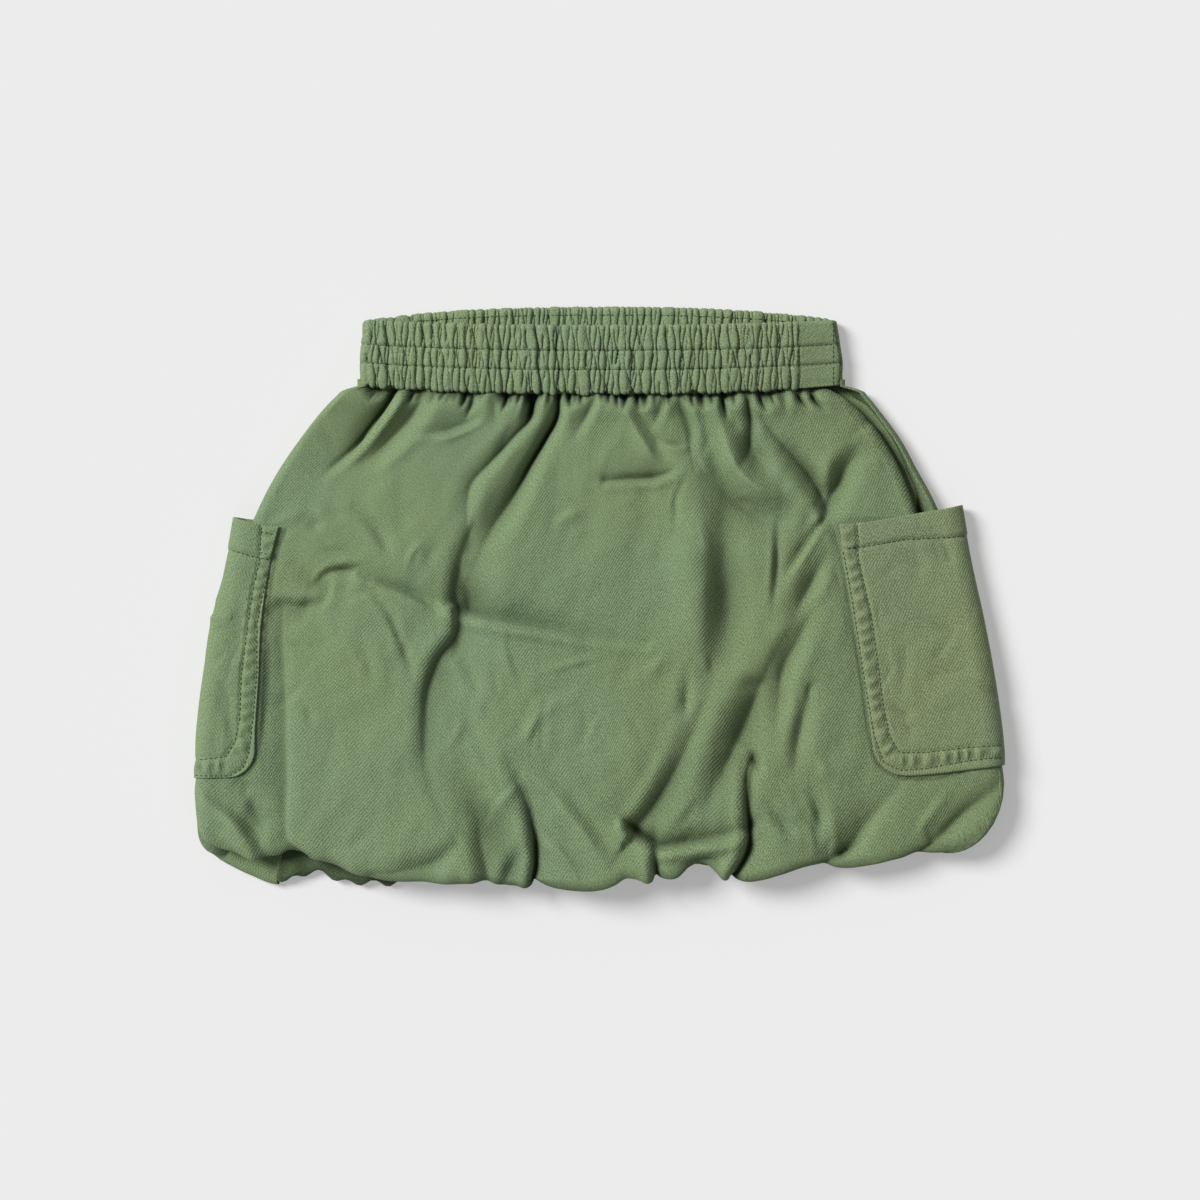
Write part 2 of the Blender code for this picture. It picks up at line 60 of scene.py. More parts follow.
def through(xs, ys, at):
    """A smooth curve through the table's points, read at one place or at many."""
    xs, ys = np.asarray(xs, float), np.asarray(ys, float)
    if xs[0] > xs[-1]:
        xs, ys = xs[::-1], ys[::-1]
    step = np.diff(xs)
    rise = np.diff(ys) / step
    slope = np.concatenate([[rise[0]], (rise[:-1] + rise[1:]) / 2, [rise[-1]]])
    slope[1:-1][rise[:-1] * rise[1:] <= 0] = 0.0
    at = np.clip(at, xs[0], xs[-1])
    k = np.clip(np.searchsorted(xs, at, side="right") - 1, 0, len(step) - 1)
    t = (at - xs[k]) / step[k]
    return (ys[k] * (2 * t**3 - 3 * t**2 + 1) + ys[k + 1] * (3 * t**2 - 2 * t**3)
            + step[k] * (slope[k] * (t**3 - 2 * t**2 + t) + slope[k + 1] * (t**3 - t**2)))


def smooth(t):
    t = np.clip(t, 0.0, 1.0)
    return t * t * (3 - 2 * t)


# %% [markdown]
# ## The tube
# The body is described by rings round it. A place on a ring is `q`: -1 is the left fold, 1 the right fold,
# the front lies between them and the back lies beyond. `v` runs down from the waist seam (0) to where the
# hem starts to roll (1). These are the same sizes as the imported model's, so the dressed skirt lies in it.

# %% Sizes of the tube
WALL, BAND_WALL = 1.2, 3.0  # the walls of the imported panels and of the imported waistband
SEAM_GAP = 0.3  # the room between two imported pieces
HEM_TURN, HEM_DRAW = 32.0, 0.06  # how far the hem runs back up inside, and how much it is drawn in
FRONT_ROLL, BACK_ROLL, ROLL_PUFF = 4.6, 2.6, 1.5  # half the hem roll's height, and how far it puffs out
LEFT_SEAM = 0.17  # the left seam lies on the back, this share of half its width in from the fold
RIGHT_SEAM = 2.5  # the right seam shows on the front, this far in from the fold
NOSE = 0.08  # the share of half a ring that turns round a side fold
STEP = 1e-3  # a small step round a ring, to measure which way it runs
BOW = 2.5  # how squarely the lines at the waist turn down to the side folds
SIDES = {
    "y": [107, 104.5, 101.5, 94, 79.5, 64.5, 49.5, 20, -10.5, -40.5, -70.5, -86, -100, -114],
    "left": [-120.5, -128.5, -132, -139, -150, -160, -168, -180, -188, -194.5, -199, -200.2, -202, -201],
    "right": [120.5, 130, 133, 139, 149.5, 157.5, 165.5, 177, 185.5, 192.5, 198, 200, 201.3, 200.5],
}
ALONG = {
    "v": [0.0, 0.05, 0.13, 0.30, 0.55, 0.80, 1.0],
    "crown": [13.2, 15.0, 17.0, 19.0, 21.0, 22.5, 22.5],
    "side": [8.4, 9.2, 10.0, 11.5, 13.5, 15.5, 16.0],
    "rise": [0.70, 0.70, 0.74, 0.78, 0.80, 0.80, 0.80],
}
FRONT_HEM = {
    "x": [-194, -180, -168.5, -157, -152.5, -141.5, -130, -118.5, -103.5, -83, -71, -59, -53, -47, -29, -11,
          1, 7, 13, 19, 25, 31, 37, 45, 51, 56, 61, 67, 73, 79, 91, 103, 115, 127, 139, 151, 163, 178],
    "y": [-121, -124.5, -128, -127, -125.5, -128.5, -131, -136, -139, -139.5, -140.5, -140.5, -142.5, -144.5,
          -144, -144.5, -143, -140.5, -137, -138, -140.5, -139, -137.5, -132.5, -132, -134.5, -139.5, -140.5,
          -140, -138.5, -135, -133, -133, -131.5, -129, -127.5, -126, -124.5],
}
BACK_HEM = {
    "x": [-194, -184, -172, -158.5, -151, -141.5, -136, -130, -115, -101, -95, -70, -30, 20, 60, 110,
          150, 178],
    "y": [-125, -131.5, -137.5, -142, -141.5, -137, -137.5, -141, -143.5, -143, -140, -137, -138, -136, -133,
          -128, -123, -121],
}
CORNER = {  # how low each corner of the hem lies, and how far and how roundly it is cut off
    "left": {"low": -127.0, "width": 9.0, "depth": 13.0, "power": 8},
    "right": {"low": -124.0, "width": 28.0, "depth": 34.0, "power": 2.6},
}
CORNER_START = 14  # how close to the side folds the corners begin
INNER_SIDE = 10.4  # the height of the turned hem's side folds
BAND = {
    "h": [0.0, 0.33, 0.65, 1.0],
    "left": [-119.5, -120.5, -119.5, -117.0],
    "right": [120.0, 121.0, 119.5, 117.5],
    "crown": [13.2, 13.6, 13.8, 13.4],
    "side": [8.4, 8.4, 8.4, 8.4],
    "rise": [0.55, 0.50, 0.50, 0.50],
}
BAND_TOP = {"front": 134.4, "back": 144.3, "side": 137.8}
BAND_FOOT = {"front": 102.5, "back": 107.5, "side": 107.0}
COVER_ROOM, COVER_FADE = 10.0, 12.0  # how far past a pocket the back is lifted over it, and fades
POCKETS = {
    "left": {"y": [40.0, 20.0, -10.0, -40.0, -70.0, -88.0],
             "edge": [-158.0, -163.0, -167.5, -169.0, -170.5, -170.5],
             "fold": [-183.5, -187.0, -194.5, -199.0, -202.6, -202.9],
             "back": 88.0, "mouth_edge": 36.5, "mouth_fold": 40.5, "foot_edge": -88.0, "foot_fold": -88.5},
    "right": {"y": [47.0, 20.0, -10.0, -40.0, -70.0, -88.0],
              "edge": [116.5, 119.5, 124.5, 129.5, 133.5, 136.0],
              "fold": [180.8, 185.5, 192.0, 197.5, 201.6, 202.7],
              "back": 56.0, "mouth_edge": 37.5, "mouth_fold": 46.5, "foot_edge": -87.0, "foot_fold": -82.0},
}
POCKET_CORNER = 14.0  # the radius of a pocket's lower corner


# %% [markdown]
# A ring is a flattened loop: flat underneath, a little arched on top, with a round nose at each side fold.
# The functions below read the tables and give the height and place of any point of the tube.

# %% Rings round the tube
def side_x(side, y):
    return through(SIDES["y"], SIDES[side], y)


def side_row(side, v):
    """The y on a side fold at v down the body."""
    end = CORNER[side]["low"] + CORNER[side]["depth"]
    top = BAND_FOOT["side"] - SEAM_GAP
    return top + (end - top) * v


def pocket_cover(x, y):
    """1 where a pocket lies under the back panel, fading to 0 outside it."""
    cover = np.zeros(np.shape(x))
    for side, pocket in POCKETS.items():
        fold = side_x(side, y)
        reach = pocket["back"] - np.abs(x - fold)
        above_foot = y - min(pocket["foot_edge"], pocket["foot_fold"])
        below_mouth = max(pocket["mouth_edge"], pocket["mouth_fold"]) - y
        reach = np.minimum(reach, np.minimum(above_foot, below_mouth)) + COVER_ROOM
        cover = np.maximum(cover, smooth(reach / COVER_FADE + 1))
    return cover


def ring(q, left, right, crown, side, rise, floor):
    """A closed ring of the tube: (x, z, place across from -1 to 1, whether on the front)."""
    front = np.abs(q) <= 1
    flat = np.where(front, q, np.where(q > 1, 2 - q, -2 - q))
    sign = np.where(flat >= 0, 1.0, -1.0)
    flat = np.abs(flat)
    nose = (side - floor) / 2
    turn = np.clip((flat - (1 - NOSE)) / NOSE, 0, 1) * math.pi / 2
    run = np.clip(flat / (1 - NOSE), 0, 1)
    middle, half = (left + right) / 2, (right - left) / 2
    x = middle + sign * (run * (half - nose) + nose * np.sin(turn))
    hump = (crown - side) * smooth((1 - run) / rise)
    z = np.where(front, floor + nose + nose * np.cos(turn) + hump, floor + nose - nose * np.cos(turn))
    return x, z, (x - middle) / half, front


def bowed(table, u, front):
    """The y of a line round the waist that bows between the side folds."""
    middle = np.where(front, table["front"], table["back"])
    return middle + (table["side"] - middle) * np.abs(u) ** BOW


def corner_inset(u):
    """How far the hem's roll lies in from the body's edge, at u across the skirt."""
    width, power = (np.where(u < 0, CORNER["left"][key], CORNER["right"][key]) for key in ("width", "power"))
    return -np.sign(u) * width * np.abs(u) ** power


def hem_start(u, front):
    """(y where the hem starts to roll, how far the roll reaches below it), at u across the skirt."""
    left, right = side_x("left", side_row("left", 1.0)), side_x("right", side_row("right", 1.0))
    x = left + (right - left) * (u + 1) / 2 + corner_inset(u)
    front_low, back_low = (through(hem["x"], hem["y"], x) for hem in (FRONT_HEM, BACK_HEM))
    low = np.where(front, front_low, back_low)
    corner = np.where(u < 0, CORNER["left"]["depth"], CORNER["right"]["depth"])
    flat = np.where(front, FRONT_ROLL, BACK_ROLL) + ROLL_PUFF
    depth = flat + (corner - flat) * np.abs(u) ** CORNER_START
    return low + depth, depth


def body_ring(q, v, lift):
    left, right = side_x("left", side_row("left", v)), side_x("right", side_row("right", v))
    crown, side, rise = (through(ALONG["v"], ALONG[key], v) for key in ("crown", "side", "rise"))
    return ring(q, left, right, crown, side, rise, lift)


def body_point(q, v):
    """The outer face of the smooth body, before any fold: (points, place across, whether on the front)."""
    x, _, u, front = body_ring(q, np.clip(v, 0, 1), 0.0)
    top = bowed(BAND_FOOT, u, front) - SEAM_GAP
    y = top + (hem_start(u, front)[0] - top) * v
    lift = (WALL + SEAM_GAP) * pocket_cover(x, y)
    x, z, u, front = body_ring(q, np.clip(v, 0, 1), lift)
    return np.stack([x, y, z], axis=-1), u, front


def hem_point(q, w):
    """The turned-up hem at w up it, from the roll (0) to its elastic edge (1)."""
    outer, u, _ = body_point(q, np.ones_like(q))
    left, right = side_x("left", side_row("left", 1.0)), side_x("right", side_row("right", 1.0))
    crown = ALONG["crown"][-1] - 2 * FRONT_ROLL
    floor = 2 * BACK_ROLL + (WALL + SEAM_GAP) * pocket_cover(outer[..., 0], outer[..., 1])
    x, z, _, _ = ring(q, left, right, crown, INNER_SIDE, ALONG["rise"][-1], floor)
    x = (x + 2 * corner_inset(u)) * (1 - HEM_DRAW * w)
    return np.stack([x, outer[..., 1] + HEM_TURN * w, z], axis=-1)


def roll_point(q, turn):
    """The hem's roll, turn being the angle from the outer face (0) to the inner (pi)."""
    outer, u, front = body_point(q, np.ones_like(q))
    inner = hem_point(q, np.zeros_like(q))
    _, depth = hem_start(u, front)
    middle, half = (outer + inner) / 2, (outer - inner) / 2
    point = middle + half * np.cos(turn)[..., None]
    point[..., 1] = outer[..., 1] - depth * np.sin(turn)
    return point


def band_point(q, h):
    left, right, crown, side, rise = (
        through(BAND["h"], BAND[key], h) for key in ("left", "right", "crown", "side", "rise"))
    x, z, u, front = ring(q, left, right, crown, side, rise, 0.0)
    foot, top = bowed(BAND_FOOT, u, front), bowed(BAND_TOP, u, front)
    return np.stack([x, foot + (top - foot) * h, z], axis=-1)


def facing(down, round_):
    """The outward direction of a sheet, from its steps down the skirt and round it."""
    out = np.cross(down, round_)
    return out / np.maximum(np.linalg.norm(out, axis=-1, keepdims=True), 1e-9)


# %% [markdown]
# ## Folds
# Real folds are not even waves. Each one here runs through a few points, is deepest at one place along it,
# and has a steep and a gentle wall of their own widths, because that is what light picks out on cloth. Some
# stand proud on one side (`lip`), and where the cloth laps over itself the points also slide sideways
# (`over`), so the fold hides its own bottom. Sculpting by hand or simulating the whole skirt would give
# folds too, but not these folds, in these places.

# %% The sizes of one fold
def fold(name, depth, left, right, path, peak=0.5, start=0.3, end=0.0, lip=(0.2, 0.2), sharp=None,
         crisp=0.0, over=0.0, line=0.0):
    """A fold along a path of (across, up) in millimetres; a depth below 0 makes it a ridge.

    left, right: the widths of its walls, seen looking along the path, one or several along it
    peak, start, end: where along it the fold is deepest, and its share of that depth at its ends
    lip: how far the cloth swells beside it, left and right
    sharp: below 1 the walls meet in a sharp line, above 2 the floor is flat; one number or one a side
    crisp: a narrow deeper groove at the bottom
    over: how far the cloth on one side slides across, the left side for a number above 0
    line: how dark the painted shadow line at its bottom is
    """
    if sharp is None:
        sharp = 1.9 if depth < 0 else 1.15
    return dict(name=name, depth=depth, left=left, right=right, path=path, peak=peak, start=start, end=end,
                lip=lip, sharp=sharp, crisp=crisp, over=over, line=line)


# %% One fold, as a shift of every point near it
PATH_PIECES = 6  # straight pieces between two points of a path
FOLD_REACH = 4.2  # how many wall widths away a fold is still felt
LIP_AT = 1.9  # where the lip stands, in wall widths
CRISP_WIDE = 1.0  # how wide the narrow groove at a fold's bottom is
SHADOW_LINE_WIDE, SHADOW_LINE_DARK = 0.9, 1.5  # how wide and how dark the painted shadow line there is


def nearest_on(path, at, x, y):
    """Of each point: its distance from a path, how far along, on which side, and the path's direction."""
    away = np.full(x.shape, np.inf)
    along, side, way_x, way_y = (np.zeros(x.shape) for _ in range(4))
    for k, (a, b) in enumerate(zip(path[:-1], path[1:])):
        run = max(np.linalg.norm(b - a), 1e-6)
        way = (b - a) / run
        t = np.clip((x - a[0]) * way[0] + (y - a[1]) * way[1], 0, run)
        dx, dy = x - a[0] - t * way[0], y - a[1] - t * way[1]
        gap = np.hypot(dx, dy)
        closer = gap < away
        found = (gap, (at[k] + t) / at[-1], way[0] * dy - way[1] * dx, way[0], way[1])
        for field, value in zip((away, along, side, way_x, way_y), found):
            np.copyto(field, value, where=closer)
    return away, along, side, way_x, way_y


def fold_shift(fold, x, y):
    """What one fold does at (x, y): it sinks by, slides by x, slides by y, and paints a shadow line at its
    bottom.
    """
    points = np.array(fold["path"], float)
    runs = np.concatenate([[0.0], np.cumsum(np.linalg.norm(np.diff(points, axis=0), axis=1))])
    at = np.linspace(0, runs[-1], PATH_PIECES * (len(points) - 1) + 1)
    path = np.stack([through(runs, points[:, k], at) for k in (0, 1)], axis=-1)
    walls = [np.atleast_1d(np.array(fold[wall], float)) for wall in ("left", "right")]
    reach = FOLD_REACH * max(wall.max() for wall in walls)
    near = ((x > path[:, 0].min() - reach) & (x < path[:, 0].max() + reach)
            & (y > path[:, 1].min() - reach) & (y < path[:, 1].max() + reach))
    away, along, side, way_x, way_y = nearest_on(path, at, x[near], y[near])
    on_left = side > 0
    toward = np.where(on_left, 1.0, -1.0)
    peak, start, end = fold["peak"], fold["start"], fold["end"]
    before = start + (1 - start) * smooth(along / peak)
    after = end + (1 - end) * smooth((1 - along) / (1 - peak))
    strength = np.where(along < peak, before, after)
    # Past its ends a fold fades out over its own width, because `away` grows there too.
    wide = [np.interp(along, np.linspace(0, 1, len(wall)), wall) for wall in walls]
    a = away / np.where(on_left, *wide)
    sharp = np.atleast_1d(fold["sharp"])
    valley = np.exp(-(a ** np.where(on_left, sharp[0], sharp[-1])))
    lip = np.where(on_left, *fold["lip"]) * np.exp(-((a - LIP_AT) ** 2))
    crisp = fold["crisp"] * np.exp(-away / CRISP_WIDE)
    shift = np.zeros((4,) + x.shape)
    shift[0][near] = fold["depth"] * strength * (valley - lip + crisp)
    over = fold["over"]
    if over:
        leans = on_left if over > 0 else (side < 0)
        slid = abs(over) * strength * np.where(leans, np.exp(-(((a - 1.0) / 0.7) ** 2)), 0.0)
        shift[1][near] = toward * way_y * slid
        shift[2][near] = -toward * way_x * slid
    # Where a crease is tight, its bottom gets a painted shadow line. The line follows the cloth that laps
    # over.
    off_shadow_line = np.abs(toward * away + SHADOW_LINE_WIDE * over)
    shift[3][near] = SHADOW_LINE_DARK * fold["line"] * strength * np.exp(-((off_shadow_line / SHADOW_LINE_WIDE) ** 1.3))
    return shift


def folded(folds, x, y):
    """What all the folds do together, one array each for sink, slide by x, slide by y and painted shadow
    line.
    """
    return sum(fold_shift(fold, x, y) for fold in folds)


# %% [markdown]
# The folds of the front, one after another: name, depth, the widths of the two walls, and the path across
# and up from the middle of the skirt. They were placed the largest first, and then set one by one
# against the photograph until light fell on them in the same way.

# %% Folds that start at the waist
WAIST_FOLDS = [
    fold("left_shoulder", 10.5, 2.2, (3, 7, 10), [(-99, 108), (-106, 96), (-113, 86.5), (-121, 77),
         (-132, 67), (-143, 57)], peak=0.3, start=0.8, lip=(0.3, 0), sharp=0.95, crisp=0.2, over=2.2,
         line=0.8),
    fold("left_shoulder_second", 5.4, 4.5, 4, [(-86, 103), (-96, 89.5), (-105, 80), (-115, 70),
         (-126, 60)], peak=0.3, start=0.8, lip=(0.3, 0.35)),
    fold("arc", 4.4, 4.5, 1.8, [(-91, 83), (-82, 83), (-71.5, 85.5), (-64, 88.5), (-57, 93)], peak=0.55,
         lip=(0.1, 0.4), sharp=1, crisp=0.1),
    fold("arc_stem", 2.4, 2.5, 2.5, [(-54, 105), (-52.5, 96), (-52, 84)], peak=0.3, start=0.8),
    fold("centre", 8, (2.5, 4.5, 8), (3, 5, 7, 9), [(-21, 104), (-21.5, 91), (-27.5, 79.5), (-35.5, 65.5),
         (-44, 50.5), (-54, 34.5), (-60, 22), (-65, 8), (-68, -4)], start=0.6, lip=(0.12, 0.1),
         sharp=1.1),
    fold("centre_slit", 6, 2, 2.4, [(-20.5, 106), (-21.5, 91), (-27.5, 79.5), (-35, 67), (-42, 54),
         (-50, 40)], peak=0.3, start=0.9, lip=(0.15, 0.1), sharp=0.9, over=0.8, line=1.1),
    fold("centre_left", 5, (2.2, 2.6, 4), (2.6, 3.5, 5), [(-33.5, 105), (-33.5, 94), (-44, 80),
         (-54.5, 68.5), (-64.5, 57), (-66.5, 42), (-65, 24)], peak=0.35, start=0.9, end=0.2,
         lip=(0.15, 0.1), sharp=1, over=0.5, line=0.7),
    fold("gather_mid", 4, 2.2, 3.2, [(-2, 105), (-5, 96), (-9, 88), (-18, 74)], peak=0.2, start=0.9,
         sharp=0.95, line=0.5),
    fold("vee_arm_right", -3.2, 3, 3.5, [(11.5, 97), (16.5, 86), (23, 75), (31, 63)], peak=0.6, start=0.6,
         lip=(0.7, 0), sharp=1.2),
    fold("vee_arm_left", -1, 4.5, 3.5, [(11.5, 90), (7, 79), (2.5, 70), (-4, 52)], peak=0.4,
         lip=(0, 0.3)),
    fold("vee_foot", 4.6, (2.4, 4, 6), 2, [(2, 59), (12, 60), (22, 60.5), (30.5, 62), (41, 67)], peak=0.6,
         start=0.7, lip=(0, 0.35), sharp=1, crisp=0.35, over=-0.6, line=0.7),
    fold("notch_a", 4.4, 2.2, 3, [(29.5, 106), (29.5, 97), (27, 89), (22, 82)], peak=0.2, start=0.9,
         sharp=0.95, line=0.5),
    fold("notch_b", 5.4, 2.6, 3.6, [(38.5, 107), (39.5, 97), (43, 87.5), (44.5, 81), (41, 66)], peak=0.35,
         start=0.85, lip=(0.25, 0.05), sharp=1, line=0.5),
    fold("small_crescent", 2.8, 3, 1.5, [(28, 80.5), (34, 78), (40, 77.5), (46, 80)], lip=(0.1, 0.4),
         sharp=1, line=0.4),
    fold("ridge_top", -5, (4, 5, 5), (4, 4, 5), [(57, 96), (61, 82), (66, 67), (75, 57), (88, 51),
         (98, 50)], peak=0.6, lip=(0.5, 0.5), sharp=1.3),
    fold("ridge_hollow", 5, 6, 5, [(70, 88), (75, 76), (82, 68), (92, 62)], sharp=1.5),
    fold("right_slit", 6, 3, 2.2, [(73, 107), (72.5, 97), (74, 86), (73, 76), (69, 66), (66, 56)],
         peak=0.2, start=0.9, lip=(0.1, 0.2), sharp=1, over=-1, line=0.5),
    fold("right_gather", 4.6, 2.4, 2.6, [(90, 107), (91, 98), (94, 90)], peak=0.2, start=0.95, sharp=0.95,
         line=0.6),
    fold("vee_deep_left", 9, (5, 5, 3), (5, 6, 4), [(80, 90), (88, 80), (99, 68.5), (107.5, 57),
         (112, 45)], peak=0.8, lip=(0.1, 0.2), sharp=1.2, crisp=0.15, line=0.3),
    fold("vee_deep_right", 8, (3.5, 5), 5, [(112, 46), (117, 56), (122.5, 67), (129, 71.5), (139, 70)],
         peak=0.25, start=0.9, lip=(0.3, 0.1), sharp=1.1),
    fold("hollow_under_ridge", 6, 5, 10, [(56, 60), (66, 49), (76, 43), (90, 40), (100, 44)], start=0.4),
    fold("right_shoulder", 10.5, (4.5, 7, 9, 9, 9), 1.8, [(96, 109), (110, 105), (120, 100), (132.5, 89),
         (140.5, 79), (148, 66), (153, 54), (157, 42)], peak=0.3, start=0.9, end=0.8, lip=(0, 0.15),
         sharp=(1.3, 1), over=-3.4, line=1.4),
    fold("shoulder_strip", 4.6, 7, 6, [(112, 109), (128, 101), (140, 88), (149, 72), (157, 56),
         (161, 44)], start=0.8, end=0.8, lip=(0, 0), sharp=2),
    fold("shoulder_gap", 2, 2, 2, [(99, 110), (113, 106.5), (124, 101), (136, 91), (144, 80.5),
         (151, 67)], peak=0.3, start=0.9, end=0.5, lip=(0, 0), sharp=1.2, line=1.4),
]

# %% Folds of the middle and the left
MIDDLE_FOLDS = [
    fold("left_puff_edge", 6, (6, 9, 10, 15, 20), (3, 3, 3, 4), [(-66, 32), (-71, 16), (-73, 4),
         (-71.5, -9), (-73, -18), (-81, -28.5), (-86, -42), (-87.5, -56), (-87.5, -76), (-83, -96),
         (-76, -112)], peak=0.35, start=0.4, end=0.2, lip=(0, 0.15), sharp=(1.8, 1.05), over=-0.9,
         line=0.25),
    fold("pit", 3.6, 9, 2.6, [(-70.5, 12), (-66, 0), (-67, -13)], sharp=(1.5, 1.1), line=0.2),
    fold("cross_crease", 6.5, (14, 10, 7, 5), (3, 2.4, 2), [(-70, -4), (-50, -9), (-34, -12), (-18, -15),
         (0, -19), (22, -21.8)], peak=0.3, start=0.9, end=0.2, lip=(0, 0.45), sharp=(1.3, 0.95),
         over=-1.2, line=0.2),
    fold("pit_crease", 1.6, 3, 3, [(-71.5, -22), (-66, -34), (-59, -48), (-52, -62)], peak=0.2,
         start=0.6),
    fold("crescent", 5, 1.3, 4, [(-139, 11.5), (-135, 14.5), (-127, 16), (-117.5, 15.5)], peak=0.6,
         lip=(0.4, 0), sharp=1, over=0.8, line=0.4),
    fold("crescent_tail", 6.6, 5, 1.8, [(-118.5, 13), (-104.5, 7), (-91, 1.5), (-79, -6), (-73, -9)],
         peak=0.45, start=0.5, lip=(0.05, 0.3), sharp=1, over=-1, line=0.2),
    fold("crescent_low", 2.8, 4, 3, [(-152, 18), (-140, 8), (-129, 4), (-119, 8.5)], peak=0.45),
    fold("left_vein", 2.8, 2.2, 1.6, [(-117, 9), (-104.5, -8), (-97.5, -25.5), (-90, -47)], sharp=1,
         line=0.25),
    fold("left_arc", 4.4, 2.6, 7, [(-163, -4), (-156, -2), (-149.5, -3.5), (-137.5, -1), (-131, 2)],
         peak=0.4, lip=(0.3, 0), sharp=1.1),
    fold("left_edge", 4.2, (3, 2.4, 2, 2), (6, 9, 10, 10), [(-158, -4), (-158, -24), (-157, -46),
         (-156.5, -70), (-156, -92), (-156.5, -109), (-155, -120), (-146, -128)], peak=0.6, start=0.5,
         end=0.9, lip=(0, 0), sharp=(1, 1.4), over=0.5, line=0.25),
    fold("left_faint", 2.7, 3, 2.4, [(-121, 46), (-110.5, 34), (-101, 17)]),
    fold("left_dimple", 2.4, 2.6, 2.6, [(-147, 40), (-142.5, 37.5), (-137, 36)]),
    fold("tall_ridge", -4.4, 7, 11, [(46, 62), (49, 45), (50, 20), (50, 0), (48.5, -24), (46, -50)],
         lip=(0.5, 0)),
    fold("tall_trough", 4.6, 12, 10, [(60, 44), (61, 10), (62, -20), (57, -50)], peak=0.45, sharp=1.6),
    fold("ridge_foot", 2.8, 2.2, 3, [(43, -36), (42.5, -46), (41.5, -60)], peak=0.6),
    fold("long_vein", 3.6, 3, 1.6, [(87.5, 38), (87, 20.5), (86, 6), (84, -12)], peak=0.4, lip=(0, 0.3),
         sharp=1, line=0.3),
    fold("straight_crease", 4.5, 1.5, 3.8, [(112, 43), (103, 30), (96, 19.5), (88, 7)], lip=(0.3, 0),
         sharp=1, line=0.3),
    fold("pocket_side_upper", 5.3, 3, 4.5, [(111, 20), (104, 7), (98.5, -3), (95, -13)], peak=0.4),
    fold("pocket_side_mid", 5.7, 4, 5, [(106, -3), (98, -20), (90.5, -35), (87, -60), (85, -74)],
         peak=0.45),
    fold("strong_trough", 9.4, (6, 8, 8), (5, 8, 7), [(87, -25), (78.5, -43.5), (72.5, -58), (65, -75),
         (55, -95), (45, -112)], peak=0.45, start=0.2, end=0.2, lip=(0, 0.2), sharp=(1.3, 1.1)),
    fold("pocket_side_low", 4.2, 4, 3, [(104, -44), (99, -62), (96.5, -76), (95.5, -90)]),
    fold("teardrop", 3.8, 2.2, 1.8, [(73, -72), (76, -79), (79, -88)], sharp=1.1, line=0.3),
]

